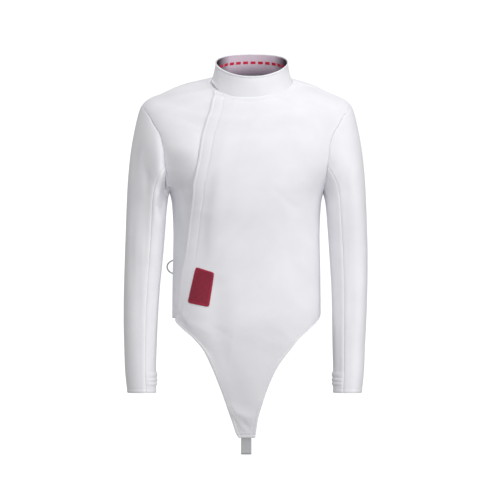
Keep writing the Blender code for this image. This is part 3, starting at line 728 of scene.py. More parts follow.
def add_node(tree: Tree, kind: str, inputs: dict[str | int, object] | None = None, **settings: object) -> Node:
    """Add a shader node.

    Args:
        tree: the material's node tree.
        kind: the node's type without its ShaderNode prefix.
        inputs: for each input, by name or number, its value or the output that feeds it.
        settings: the node's own settings.

    Returns:
        The node.
    """
    made = tree.nodes.new("ShaderNode" + kind)
    for key, value in settings.items():
        setattr(made, key, value)
    for key, value in (inputs or {}).items():
        if isinstance(value, Socket):
            tree.links.new(value, made.inputs[key])
        else:
            made.inputs[key].default_value = value
    return made


def maths(tree: Tree, operation: str, first: object, second: object = 0.0, clamp: bool = False) -> Socket:
    """Result of an operation on two numbers or outputs."""
    return add_node(tree, "Math", {0: first, 1: second}, operation=operation, use_clamp=clamp).outputs[0]


def blend(tree: Tree, share: Socket, first: object, second: object) -> Socket:
    """Colour between two colours, either of which may be an output."""
    return add_node(tree, "Mix", {0: share, 6: first, 7: second}, data_type="RGBA").outputs[2]


def ramp(tree: Tree, value: Socket, low: float, high: float, first: float = 0.0, last: float = 1.0) -> Socket:
    """A straight ramp from first to last while an output goes from low to high."""
    limits = {"Value": value, "From Min": low, "From Max": high, "To Min": first, "To Max": last}
    return add_node(tree, "MapRange", limits).outputs[0]


def noise(tree: Tree, place: Socket, scale: float, detail: float = 2.0) -> Socket:
    """Soft noise with about so many specks to the metre."""
    return add_node(tree, "TexNoise", {"Vector": place, "Scale": scale, "Detail": detail}).outputs["Fac"]


def bands(tree: Tree, vector: Socket, spacing: float, direction: str, wobble: float = 0.0) -> Socket:
    """Soft parallel ridges at a spacing in mm."""
    scale = 2 * math.pi / 20 / (spacing * MM)
    inputs = {"Vector": vector, "Scale": scale, "Distortion": wobble, "Detail": 1.0}
    return add_node(tree, "TexWave", inputs, wave_type="BANDS", bands_direction=direction).outputs["Fac"]


@dataclass(frozen=True)
class Finish:
    """A plain finish; each kind of cloth or metal adds its own pattern in dress."""

    name: str
    colour: str
    roughness: float
    slot: str = ""
    metallic: float = 0.0
    sheen: float = 0.0

    def material(self) -> bpy.types.Material:
        """The finish's material, made once."""
        known = bpy.data.materials.get(self.name)
        if known:
            return known
        made = bpy.data.materials.new(self.name)
        made.use_nodes = True
        shader = made.node_tree.nodes["Principled BSDF"]
        shader.inputs["Base Color"].default_value = linear(self.colour)
        shader.inputs["Roughness"].default_value = self.roughness
        shader.inputs["Metallic"].default_value = self.metallic
        shader.inputs["Sheen Weight"].default_value = self.sheen
        shader.inputs["Sheen Roughness"].default_value = 0.4
        self.dress(made.node_tree, shader)
        return made

    def dress(self, tree: Tree, shader: Node) -> None:
        """Add the finish's pattern to its material."""

    def tint(self, tree: Tree, shader: Node, pattern: Socket, other: str) -> None:
        """Mix the colour towards another one where a pattern is high."""
        tree.links.new(blend(tree, pattern, linear(self.colour), linear(other)), shader.inputs["Base Color"])

    def relief(self, tree: Tree, shader: Node, height: Socket, strength: float, depth: float) -> None:
        """Raise the surface by a pattern; depth is in mm."""
        bump = add_node(tree, "Bump", {"Height": height, "Strength": strength, "Distance": depth * MM})
        tree.links.new(bump.outputs["Normal"], shader.inputs["Normal"])


@dataclass(frozen=True)
class WovenCloth(Finish):
    """Dense plain-woven cotton and polyester cloth, pressed: matt, with a faint satin sheen.

    Real threads lie about 0.35 mm apart, too fine to show, so they are drawn three times as wide.
    """

    thread: float = 1.1
    shade: str = "#EDEDF2"
    depth: float = 0.12
    wobble: float = 0.6
    slubs: float = 420.0
    clouds: float = 14.0

    def dress(self, tree: Tree, shader: Node) -> None:
        """Threads both ways, a little slub, and a faint unevenness of tone."""
        place = add_node(tree, "TexCoord").outputs["UV"]
        warp, weft = (bands(tree, place, self.thread, way, self.wobble) for way in "XY")
        woven = maths(tree, "MULTIPLY", warp, weft)
        height = maths(tree, "ADD", woven, noise(tree, place, self.slubs, 3.0))
        self.relief(tree, shader, height, 0.5, self.depth)
        self.tint(tree, shader, ramp(tree, noise(tree, place, self.clouds, 4.0), 0.35, 0.75), self.shade)


@dataclass(frozen=True)
class SpacerMesh(Finish):
    """Knitted spacer mesh of polyester: a soft honeycomb with small dark eyes 2.2 mm apart.

    It is knitted from pale yarn and is pale at the top; painted shade turns it to plum towards the seam, deep
    inside the collar, and at both sides, where the mesh folds round.
    Heights and distances are in mm; the middle is the x of the collar's middle.
    """

    eye: float = 2.2
    shade: str = "#A98FA8"
    # Painted shade by the seam: its colour, and the heights below which it is full and above which it is gone.
    foot: str = "#6B5570"
    painted_shade_full_below: float = -8.0
    painted_shade_gone_above: float = 20.0
    # Painted shade at both sides: its colour, and how far from the middle it starts and is full.
    corner: str = "#2E1A29"
    middle: float = 11.3
    side_shade_starts: float = 47.0
    side_shade_full: float = 70.0
    drift: float = 30.0

    def dress(self, tree: Tree, shader: Node) -> None:
        """Eyes in offset rows, a drifting mauve tone, and painted shade by the seam and where the mesh turns."""
        place = add_node(tree, "TexCoord").outputs["UV"]
        cells = add_node(tree, "TexVoronoi", {"Vector": place, "Scale": 1 / (self.eye * MM), "Randomness": 0.25})
        eyes = ramp(tree, cells.outputs["Distance"], 0.18, 0.42, 1.0, 0.0)
        dark = maths(tree, "MULTIPLY", eyes, noise(tree, place, self.drift))
        height = add_node(tree, "SeparateXYZ", {0: place}).outputs["Y"]
        # Painted shade: the colour darkens to plum towards the seam, deep inside the collar.
        low = ramp(tree, height, self.painted_shade_full_below * MM, self.painted_shade_gone_above * MM, 1.0, 0.0)
        yarn, gaps = (blend(tree, low, linear(tone), linear(self.foot)) for tone in (self.colour, self.shade))
        knitted = blend(tree, dark, yarn, gaps)
        # Painted shade: both sides, where the mesh folds round, darken to dark plum.
        across = add_node(tree, "SeparateXYZ", {0: add_node(tree, "TexCoord").outputs["Object"]}).outputs["X"]
        far = maths(tree, "ABSOLUTE", maths(tree, "SUBTRACT", across, self.middle * MM))
        turned = ramp(tree, far, self.side_shade_starts * MM, self.side_shade_full * MM)
        tree.links.new(blend(tree, turned, knitted, linear(self.corner)), shader.inputs["Base Color"])
        self.relief(tree, shader, cells.outputs["Distance"], 0.8, 0.5)


@dataclass(frozen=True)
class Webbing(Finish):
    """Woven elastic webbing: fine cords along it and a rib across every 1.5 mm."""

    rib: float = 1.5
    cord: float = 2.2
    # Colour of the painted shade in the grooves.
    shade: str = "#C6C9CB"

    def dress(self, tree: Tree, shader: Node) -> None:
        """Cords and ribs, with painted shade in their grooves."""
        place = add_node(tree, "TexCoord").outputs["UV"]
        height = maths(tree, "MULTIPLY", bands(tree, place, self.cord, "X"), bands(tree, place, self.rib, "Y"))
        self.relief(tree, shader, height, 0.9, 0.35)
        # Painted shade: the colour darkens where the cords and ribs are lowest.
        self.tint(tree, shader, maths(tree, "SUBTRACT", 1.0, height), self.shade)


@dataclass(frozen=True)
class BadgeWeave(Finish):
    """Damask badge cloth: dense crimson weave, a plain lozenge lattice and a satin-stitched border."""

    shade: str = "#A3173A"
    thread: float = 0.9
    lozenge: float = 8.0
    flecks: float = 700.0
    fleck_share: float = 0.2
    lattice_share: float = 0.45

    def dress(self, tree: Tree, shader: Node) -> None:
        """Fine weft lines, the lattice, and the border's brighter thread from the border attribute."""
        place = add_node(tree, "TexCoord").outputs["UV"]
        self.relief(tree, shader, bands(tree, place, self.thread, "DIAGONAL", 0.4), 0.7, 0.2)
        border = add_node(tree, "Attribute", attribute_name="border").outputs["Fac"]
        fleck = maths(tree, "MULTIPLY", noise(tree, place, self.flecks), self.fleck_share)
        turned = add_node(tree, "Mapping", {"Vector": place, "Scale": (-1.0, 1.0, 1.0)}).outputs[0]
        one, other = (bands(tree, vector, self.lozenge, "DIAGONAL") for vector in (place, turned))
        lattice = ramp(tree, maths(tree, "MAXIMUM", one, other), 0.88, 1.0, 0.0, self.lattice_share)
        woven = maths(tree, "ADD", lattice, fleck, clamp=True)
        self.tint(tree, shader, maths(tree, "MAXIMUM", border, woven, clamp=True), self.shade)


@dataclass(frozen=True)
class PlatedWire(Finish):
    """Nickel-plated steel wire, drawn and tumbled: bright, with faint rubbed spots."""

    shade: str = "#B5B6B8"
    spots: float = 260.0
    smoother: float = 0.08
    rougher: float = 0.15

    def dress(self, tree: Tree, shader: Node) -> None:
        """Rubbed spots, duller and rougher than the rest."""
        spots = noise(tree, add_node(tree, "TexCoord").outputs["Object"], self.spots, 3.0)
        self.tint(tree, shader, ramp(tree, spots, 0.5, 0.75), self.shade)
        rough = ramp(tree, spots, 0.0, 1.0, self.roughness - self.smoother, self.roughness + self.rougher)
        tree.links.new(rough, shader.inputs["Roughness"])


WHITE_CLOTH = WovenCloth("white_jacket_cloth", "#F4F4F8", 0.72, "white_cloth", sheen=0.12)
COLLAR_MESH = SpacerMesh("mauve_spacer_mesh", "#E8D6E4", 0.85, "mesh_lining")
RED_YARN = Finish("crimson_woven_dashes", "#D41F45", 0.7, "mesh_lining")
WHITE_TAPE = WovenCloth("white_sewn_tape", "#EBEBEF", 0.75, "white_tape", thread=1.4, depth=0.3)
ZIP_TAPE = WovenCloth("white_zip_tape", "#E6E6EA", 0.8, "zip_tape", thread=1.4, depth=0.25)
ZIP_PLASTIC = Finish("white_moulded_zip_teeth", "#EEEEF0", 0.35, "zip_tape")
GREY_WEBBING = Webbing("grey_elastic_webbing", "#E6E8EA", 0.8, "grey_webbing")
RED_BADGE = BadgeWeave("crimson_badge_weave", "#861330", 0.62, "red_weave", sheen=0.1)
NICKEL_WIRE = PlatedWire("nickel_plated_wire", "#E4E5E7", 0.34, "ring_steel", metallic=1.0)
WHITE_THREAD = Finish("white_polyester_thread", "#FBFBFD", 0.5, "white_cloth", sheen=0.2)
# Sewn pieces


def finish_piece(piece: Piece, finish: Finish, body: str, *nodes: str) -> Piece:
    """Hand a piece to the frame.

    Args:
        piece: the piece.
        finish: its finish; not used.
        body: the CAD body that it rides on.
        nodes: the CAD nodes that it stands for.

    Returns:
        The piece.
    """
    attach(piece, body)
    if nodes:
        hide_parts(*nodes)
    LOG.info("%s: %d faces", piece.name, len(piece.data.polygons))
    return piece


def declare_cloth(piece: Piece, panel: Panel) -> None:
    """State a piece's cut: its greatest width and length, and its area."""
    width, length = panel.cut
    LOG.info("%s: cut %.3f x %.3f m, area %.4f", piece.name, width, length, panel.area)


def make_cloth(
    name: str, panel: Panel, node: str, finish: Finish = WHITE_CLOTH, wall: float = CLOTH_WALL
) -> None:
    """Make a cloth piece on a panel, hand it to the frame and state its cut.

    Args:
        name: the piece's name.
        panel: its outer face.
        node: the CAD node that it stands for.
        finish: its finish.
        wall: its thickness.
    """
    piece = finish_piece(cloth_sheet(name, panel, wall, finish), finish, JACKET, node)
    declare_cloth(piece, panel)


def make_stitches(name: str, runs: Sequence[Line]) -> None:
    """Sew white stitches along some lines and hand them to the frame."""
    finish_piece(THREAD.sew(name, runs, WHITE_THREAD), WHITE_THREAD, JACKET)


def parted(points: Array, gap: float = 0.15) -> Array:
    """A panel's points with its first and last columns drawn back from their seams."""
    moved = points.copy()
    moved[:, 0] += unit(points[:, 1] - points[:, 0]) * gap
    moved[:, -1] += unit(points[:, -2] - points[:, -1]) * gap
    return moved


def trunk_panel(angles: Array, levels: Array) -> Panel:
    """A panel on the plain form of the trunk."""
    return Panel(parted(BODY.point(angles, levels)), BODY.normal(angles, levels))


def with_foot(levels: Array, foot: float, clear: float) -> Array:
    """Levels down to a foot, where its hem's own rows take the place of those less than clear above it."""
    rows = [foot, *(foot + distance for distance in HEM.distances())]
    return np.array(sorted([level for level in levels if level > foot + clear] + rows, reverse=True))


def trunk_levels() -> Array:
    """Rows of a trunk panel from the neck seam to the hem, crowded at the seams."""
    yoke = BODY.levels(BODY.neck, BODY.shoulder, ROW_SPACING, NECK_SEAM.distances())
    side = with_foot(BODY.levels(BODY.armpit, BODY.hem, ROW_SPACING), BODY.hem, HEM_ROWS_TO)
    return np.concatenate([yoke, BODY.armhole(np.linspace(0, 1, ARMHOLE_ROWS))[1:], side[side < BODY.armpit - 0.5]])


@dataclass(frozen=True)
class MainFront:
    """Centre and left front with the flap and the apron, cut in one."""

    middle_columns: int = 58
    short_row: float = 190.0
    flush_from: float = -318.0
    flush_over: float = 60.0
    flush_share: float = 0.85
    collar_from: float = -110.0
    collar_over: float = 60.0
    collar_share: float = 0.4
    gusset_row: tuple[float, float] = (-0.8, 1.6)
    gusset: Seen = ((-38.2, -660.9), (-30.0, -678.0), (-22.0, -691.5), (-4.0, -698.0), (17.5, -703.0))
    creases: CreaseTable = (
        (((-70, -175), (-75.5, -205), (-81, -239), (-88, -281), (-90, -323), (-88, -372)), -2.2, 10.0),
        (((-92, -262), (-99, -310), (-101, -350), (-98, -392)), -4.6, 27.0),
        (((-52, -150), (-56, -220), (-62, -300)), 0.8, 12.0),
        (((-34, -540), (20, -548), (60, -540), (86, -520)), -4.5, 46.0),
        (((-62, -392), (-60, -440), (-64, -502)), -3.8, 25.0),
        (((64, -535), (50, -600), (35, -665)), -3.2, 22.0),
        (((-147, -468), (-136, -490), (-118, -512)), -1.8, 5.5),
        (((-140, -462), (-128, -484), (-110, -506)), 1.0, 5.0),
        (((-72, -452), (-58, -520), (-36, -590), (-20, -660)), -2.2, 20.0),
        (((60, -215), (96, -250), (120, -262)), -1.0, 9.0),
        (((84, -430), (112, -462), (138, -474)), 1.2, 12.0),
        (((-34, -662), (-24, -684), (-4, -694), (20, -698)), 2.8, 13.0),
        (((-24, -694), (-12, -712), (4, -730)), 0.7, 3.0),
        (((-14, -694), (-2, -708), (10, -722)), -0.7, 3.0),
    )

    def panel(self) -> Panel:
        """The outer face."""
        apron = with_foot(BODY.levels(BODY.hem, BODY.tip, ROW_SPACING)[1:], BODY.tip, HEM_ROWS_TO - 2)
        start = sorted({*FLAP_EDGE.distances(), *(round(d + 0.05, 2) for d in HEM.rows)})
        end = sorted({*SEAM.distances(), *HEM.rows, 8.2})
        angles, places = panel_rows(
            np.concatenate([trunk_levels(), apron]),
            EDGES.flap_start,
            lambda level: np.where(level >= BODY.hem, EDGES.front_limit(level), EDGES.apron_left(level)),
            lambda length: spread(length, start, end, self.middle_columns, self.short_row),
        )
        lift = FLAP.height(lengths_along(BODY.point(angles, places), 1), places)
        lowered = places - lift * np.clip((places + 3) / (BODY.neck + 3), 0, 1) ** 2
        panel = trunk_panel(angles, lowered)
        return panel.raised(lift + self.height(panel, places))

    def height(self, panel: Panel, places: Array) -> Array:
        """Sewing and creases over the plain form."""
        trunk = smoothstep((places - BODY.hem + 6) / 12)
        low = smoothstep((self.flush_from - places) / self.flush_over)
        high = smoothstep((places - self.collar_from) / self.collar_over)
        loose = 1 - self.flush_share * low - self.collar_share * high
        flap = FLAP_EDGE.height(panel.from_start) * loose
        height = flap * trunk + HEM.height(panel.from_start) * (1 - trunk)
        height = height + SEAM.height(panel.from_end) * trunk + HEM.height(panel.from_end) * (1 - trunk)
        height = height + NECK_SEAM.height(panel.from_top) + HEM.height(panel.from_foot)
        return height + self.folds(panel) + creased(panel.points, ((self.gusset, *self.gusset_row),))

    def folds(self, panel: Panel) -> Array:
        """Height of the creases alone; what lies under the flap sinks with them."""
        return creased(panel.points, self.creases)

    def build(self) -> None:
        """Make the cloth and its stitching."""
        panel = self.panel()
        make_cloth("front_main_cloth", panel, "front_main")
        make_stitches("front_main_stitches", self.runs(panel))

    def runs(self, panel: Panel) -> list[Line]:
        """Lines of stitches: two along the flap, the neck seam, the apron's hems and the gusset."""
        level = panel.points[:, panel.points.shape[1] // 2, 2]
        above_hem = int(np.sum(level > BODY.hem))
        trunk, apron = slice(2, above_hem - 2), slice(above_hem + 2, len(level) - 6)
        traced = BODY.traced(self.gusset)
        line, normals = BODY.point(*traced), BODY.normal(*traced)
        return [
            *(column_run(panel, row, rows=trunk) for row in FLAP_EDGE.rows),
            row_run(panel, NECK_SEAM.rows[0], columns=slice(6, None)),
            *(column_run(panel, HEM.rows[0], from_end=end, rows=apron) for end in (False, True)),
            row_run(panel, HEM.rows[0], from_foot=True, columns=slice(4, -4)),
            (line + normals * 0.1, normals),
        ]


def beyond_flap(levels: Array, distance: float) -> Array:
    """Angle on each level at a distance inside the flap's free edge."""
    start = EDGES.flap_start(levels)[:, None]
    angles = start + np.linspace(0, 1, 81)[None, :]
    lengths = lengths_along(BODY.point(angles, levels[:, None]), 1)
    return np.array([np.interp(distance, length, row) for length, row in zip(lengths, angles)])


@dataclass(frozen=True)
class UnderFront:
    """Right side panel, from the side seam to the zip under the flap."""

    middle_columns: int = 30
    zip_seam: Edging = Edging(roll=0.3, reach=2.0)
    fullness: SmoothCurve = SmoothCurve(
        (9, -25, -60, -108, -165, -220, -300, -380, -440, -478), (0, 0.5, 4, 8.5, -2.5, -10, -12, -8.5, -1, 0)
    )
    full_power: float = 0.65
    flush_rise: float = 1.9
    flush_reach: float = 16.0
    hang: float = 9.0
    hangs_from: float = -440.0
    seen_share: float = 0.6
    creases: CreaseTable = (
        (((-150, -205), (-138, -240), (-128, -262)), -1.2, 7.0),
        (((-151, -440), (-146, -462), (-138, -474)), 1.0, 7.0),
    )

    def build(self) -> None:
        """Make the cloth and its hem's stitches."""
        underlap = self.underlap_columns()
        angles, places = panel_rows(
            trunk_levels(),
            lambda level: -EDGES.front_limit(level),
            lambda level: beyond_flap(level, FLAP.underlap),
            lambda length: spread(length, SEAM.distances(), underlap, self.middle_columns, SHORT_ROW),
        )
        places = places - self.hang * smoothstep((self.hangs_from - places) / (self.hangs_from - BODY.hem))
        panel = trunk_panel(angles, places)
        height = SEAM.height(panel.from_start) + NECK_SEAM.height(panel.from_top) + HEM.height(panel.from_foot)
        height = height + creased(panel.points, self.creases)
        to_flap = panel.from_end - FLAP.underlap
        share = np.clip(panel.from_start / (panel.from_start + to_flap), 0, 1)
        height = height + self.fullness(places) * (4 * share * (1 - share)) ** self.full_power
        flush = smoothstep((MainFront.flush_from - places) / MainFront.flush_over)
        near = np.where(to_flap > 0, falling(to_flap, self.flush_reach), 0)
        height = height + self.flush_rise * flush * near
        under = np.minimum(height, 0) + np.minimum(MainFront().folds(panel), 0)
        panel = panel.raised(np.where(to_flap < 0, under, height))
        make_cloth("front_under_cloth", panel, "front_under")
        seen = slice(3, int(panel.points.shape[1] * self.seen_share))
        make_stitches("front_under_stitches", [row_run(panel, HEM.rows[0], from_foot=True, columns=seen)])

    def underlap_columns(self) -> list[float]:
        """Distances from the zip's seam, with close ones on both sides of the flap's edge."""
        near_flap = [FLAP.underlap + step for step in (-4, -1, 0, 0.4, 2, 4, 6.5, 9, 12, 16)]
        return [*self.zip_seam.distances(), 12.0, 18.0, *near_flap]


@dataclass(frozen=True)
class Zip:
    """Closed zip under the flap: two woven tapes and a chain of moulded teeth."""

    top: float = 5.0
    columns: int = 13
    tape_wall: float = 0.8
    depth: float = 0.35
    tooth: tuple[float, float, float] = (5.0, 1.45, 1.5)
    bevel: float = 0.3
    pitch: float = 2.6
    stagger: float = 0.9

    def build(self) -> None:
        """Make the tapes and the chain."""
        levels = trunk_levels()
        angles, places = panel_rows(
            levels[levels <= self.top],
            lambda level: beyond_flap(level, FLAP.underlap),
            lambda level: beyond_flap(level, FLAP.underlap + FLAP.zip_width),
            lambda length: np.linspace(0, length, self.columns),
        )
        panel = trunk_panel(angles, places)
        panel = panel.raised(np.minimum(MainFront().folds(panel), 0) - self.depth)
        make_cloth("zip_tapes", panel, "zip", ZIP_TAPE, self.tape_wall)
        middle = self.columns // 2
        finish_piece(self.chain(panel.points[:, middle], panel.normals[:, middle]), ZIP_PLASTIC, JACKET)

    def chain(self, line: Array, normals: Array) -> Piece:
        """Teeth along the line where the tapes meet, from one bevelled block.

        Args:
            line: points of the line.
            normals: the cloth's normals there.

        Returns:
            The teeth as one mesh.
        """
        deselect_all()
        bpy.ops.mesh.primitive_cube_add(size=1)
        block = bpy.context.object
        block.data.transform(Matrix.Diagonal((*self.tooth, 1)))
        edge = block.modifiers.new("edge", "BEVEL")
        edge.width, edge.segments = self.bevel, 1
        apply_modifiers(block)
        tooth = take_shape()
        lengths = lengths_along(line, 0)
        places = np.arange(self.pitch * 2, lengths[-1] - self.pitch * 2, self.pitch)
        centres = read_along(line, lengths, places)
        up = unit(read_along(normals, lengths, places))
        way = unit(np.gradient(centres, axis=0))
        aside = unit(np.cross(way, up))
        sideways = np.where(np.arange(len(places)) % 2 == 0, self.stagger, -self.stagger)[:, None]
        centres = centres - up * self.tape_wall / 2 + aside * sideways
        return repeat_shape("zip_teeth", tooth, centres, (aside, way, up), ZIP_PLASTIC)


@dataclass(frozen=True)
class Back:
    """Whole back; its hem hangs a little lower in the middle."""

    middle_columns: int = 104
    dip: float = 14.0
    dips_from: float = -421.0
    creases: CreaseTable = (
        (((152, -215), (120, -262), (84, -300)), -2.2, 11.0),
        (((-152, -215), (-118, -256), (-80, -288)), -2.0, 12.0),
        (((60, -290), (66, -350), (64, -420)), 1.8, 15.0),
        (((-54, -280), (-62, -345), (-60, -430)), 1.6, 16.0),
        (((8, -310), (2, -370), (6, -445)), -1.5, 14.0),
        (((30, -60), (6, -72), (-24, -62)), -1.1, 12.0),
    )

    def build(self) -> None:
        """Make the cloth and its stitches."""
        angles, places = panel_rows(
            trunk_levels(),
            EDGES.back_limit,
            lambda level: 2 * math.pi - EDGES.back_limit(level),
            lambda length: spread(length, SEAM.distances(), SEAM.distances(), self.middle_columns, SHORT_ROW),
        )
        share = np.clip((self.dips_from - places) / (self.dips_from - BODY.hem), 0, 1)
        across = lengths_along(BODY.point(angles, places), 1)
        places = places - self.dip * share * np.sin(math.pi * across / across[:, -1:]) ** 2
        panel = trunk_panel(angles, places)
        height = SEAM.height(panel.from_start) + SEAM.height(panel.from_end)
        height = height + NECK_SEAM.height(panel.from_top) + HEM.height(panel.from_foot)
        panel = panel.raised(height + creased(panel.points, self.creases, behind=True))
        make_cloth("back_cloth", panel, "back")
        hem = row_run(panel, HEM.rows[0], from_foot=True, columns=slice(3, -3))
        make_stitches("back_stitches", [row_run(panel, NECK_SEAM.rows[0]), hem])


class Side(Enum):
    """Which sleeve, by the wearer's own side."""

    LEFT = 1
    RIGHT = -1


@dataclass(frozen=True)
class SleeveForm:
    """A sleeve as rings from the armhole seam to the cuff, given as if it were the left one.

    A turn of 0 is the shoulder, 1 the armpit; it grows down the front and up the back. A place is 0
    at the armhole and 1 at the cuff. Over the places, crest moves the rings' fullest part off their
    middle, tucked draws the armpit in, pressed flattens the rings, and fallen is how far the front
    falls back, in mm.
    """

    crest: SmoothCurve
    tucked: SmoothCurve
    fallen: SmoothCurve = SmoothCurve((0, 1), (0, 0))
    own_creases: SleeveCreases = ()
    seam_turn: float = 0.6
    even_from: float = 0.3
    pressed: SmoothCurve = SmoothCurve((0, 0.14, 0.4, 0.62, 0.8, 1), (0, 0.05, 0.75, 0.8, 0.35, 0.1))
    lean: float = 4.0
    leans_from: float = -302.0
    leans_over: float = 270.0
    stitch_z: tuple[float, ...] = (-598.5, -611.0, -619.5, -627.0)
    hem_z: float = -634.0
    ridge: float = 2.0
    pleat: float = 6.3
    pleat_share: float = 0.32
    tuck_from: float = 0.48
    tuck_over: float = 0.32
    cuff_z: float = -592.0
    cuff_row: float = 1.15
    rings: RingTable = RingTable(
        "place outer_x outer_z inner_x inner_z centre_y half_depth",
        (
            (0.00, 217, -39, 162, -222, -1, 70),
            (0.04, 223, -55, 162.8, -225.5, -1, 70.5),
            (0.09, 229.5, -79, 163.8, -229, -1, 71),
            (0.15, 236.5, -111, 165.2, -234, 0, 71),
            (0.22, 243, -155, 167.0, -242, 1, 70),
            (0.30, 248, -215, 169.5, -262, 2, 67.5),
            (0.40, 251, -290, 172.5, -302, 3, 63.5),
            (0.50, 253, -360, 177, -362, 1, 59),
            (0.60, 253.6, -425, 182, -425, -5, 54.5),
            (0.70, 252.8, -487, 184.7, -487, -15, 49.5),
            (0.80, 250.6, -546, 186.3, -546, -27, 45),
            (0.88, 248.8, -592, 187.4, -592, -37, 41.5),
            (1.00, 243.8, -641.5, 187.2, -641.5, -47, 38),
        ),
    )

    def loop(self, turn: Array) -> Array:
        """Points of the armhole seam."""
        level = BODY.armhole(turn)
        front = np.mod(turn, 2) <= 1
        return BODY.point(np.where(front, EDGES.front_armhole(level), EDGES.back_armhole(level)), level)

    def ellipse(self, place: Array, angle: Array) -> Array:
        """Point of a ring by its own angle.

        Below the armhole the ring is pressed flatter, with its crest off the middle; in the armpit
        the cloth tucks away towards the trunk, and the front falls back below the sleeve's head.
        """
        ring = self.rings.at(place)
        power = 2 + self.pressed(place)
        depth = np.copysign((1 - np.minimum(np.abs(np.cos(angle)), 1) ** power) ** (1 / power), np.sin(angle))
        depth = depth * (1 + self.crest(place) * np.cos(angle))
        depth = depth * (1 - self.tucked(place) * smoothstep((-np.cos(angle) - self.tuck_from) / self.tuck_over))
        x, z = (
            (ring["inner_" + axis] + ring["outer_" + axis]) / 2
            + np.cos(angle) * (ring["outer_" + axis] - ring["inner_" + axis]) / 2
            for axis in "xz"
        )
        y = ring["centre_y"] - ring["half_depth"] * depth + self.fallen(place) * np.maximum(np.sin(angle), 0)
        return np.stack(np.broadcast_arrays(x, y, z), axis=-1)

    def seam_angles(self, turn: Array) -> Array:
        """Each turn's angle on the first ring, where the armhole seam lies."""
        ring = {name: float(value) for name, value in self.rings.at(np.array(0.0)).items()}
        outer, inner = np.array([ring["outer_x"], ring["outer_z"]]), np.array([ring["inner_x"], ring["inner_z"]])
        half, middle = (outer - inner) / 2, (outer + inner) / 2
        loop = self.loop(turn)
        along = (loop[..., [0, 2]] - middle) @ half / (half @ half)
        ahead = -(loop[..., 1] - ring["centre_y"]) / ring["half_depth"]
        angle = np.arctan2(ahead, along)
        return np.where(turn > 0.5, np.mod(angle, 2 * math.pi), angle)

    def surface(self, places: Array, turns: Array) -> Array:
        """Outer face of the sleeve, one row for each place, one column for each turn."""
        seam = self.seam_angles(turns)
        strays = self.loop(turns) - self.ellipse(np.zeros(turns.shape), seam)
        even = smoothstep(places / self.even_from)[:, None]
        angles = seam * (1 - even) + math.pi * turns * even
        return self.ellipse(places[:, None], angles) + strays * ((1 - even) ** 2)[..., None]

    def places(self) -> Array:
        """Rows from the armhole to the cuff's hem, crowded over the cuff's elastic."""
        fine = np.linspace(0, 1, 500)
        down = lengths_along(self.surface(fine, np.array([0.0, 0.5, 1.0, 1.5])), 0).mean(axis=1)
        heights = -self.rings.at(fine)["outer_z"]
        cuff = float(np.interp(-self.cuff_z, heights, fine))
        length = float(np.interp(cuff, fine, down))
        starts = [0.0, 1.2, 2.6, 4.2, 6.2, 9.0]
        upper = np.concatenate([starts, np.linspace(13.0, length, int(length / ROW_SPACING))])
        lower = np.interp(np.arange(1.2 - self.cuff_z, 641.6, self.cuff_row), heights, fine)
        return np.concatenate([np.interp(upper, down, fine), lower[lower < 0.998], [1.0]])

    def gathers(self, panel: Panel) -> Array:
        """Ridges of cloth between the rows of elastic inside the cuff, with small uneven pleats."""
        z = panel.points[..., 2]
        share = panel.from_start / panel.from_start[:, -1:]
        across = np.sin(math.pi * np.clip(share, 0, 1)) ** 0.5
        height = np.zeros(z.shape)
        for i, (high, low) in enumerate(zip(self.stitch_z, self.stitch_z[1:])):
            inside = np.clip((high - z) / (high - low), 0, 1)
            wave = 2 * math.pi * panel.from_start / (self.pleat + 0.7 * i) + 1.7 * i  # each row's pleats differ
            pleats = 1 + self.pleat_share * np.sin(wave)
            height = height + self.ridge * across * pleats * np.sin(math.pi * inside) ** 0.8
        return height


LEFT_FORM = SleeveForm(
    crest=SmoothCurve((0, 0.1, 0.3, 1), (0, 0, 0.12, 0.2)),
    tucked=SmoothCurve((0, 0.06, 0.18, 0.3, 1), (0, 0.12, 0.15, 0, 0)),
)
RIGHT_FORM = SleeveForm(
    crest=SmoothCurve((0, 0.06, 0.2, 0.3, 0.45, 0.6, 1), (0, -0.2, -0.45, -0.42, -0.2, -0.1, -0.2)),
    tucked=SmoothCurve((0, 0.05, 0.16, 0.26, 0.38, 1), (0, 0.7, 0.8, 0.45, 0, 0)),
    fallen=SmoothCurve((0, 0.05, 0.22, 0.3, 0.5, 1), (0, -4, 10, 10, 0, 0)),
    own_creases=(((0.06, 0.3, 0.24), 1.2, 9.0),),
)


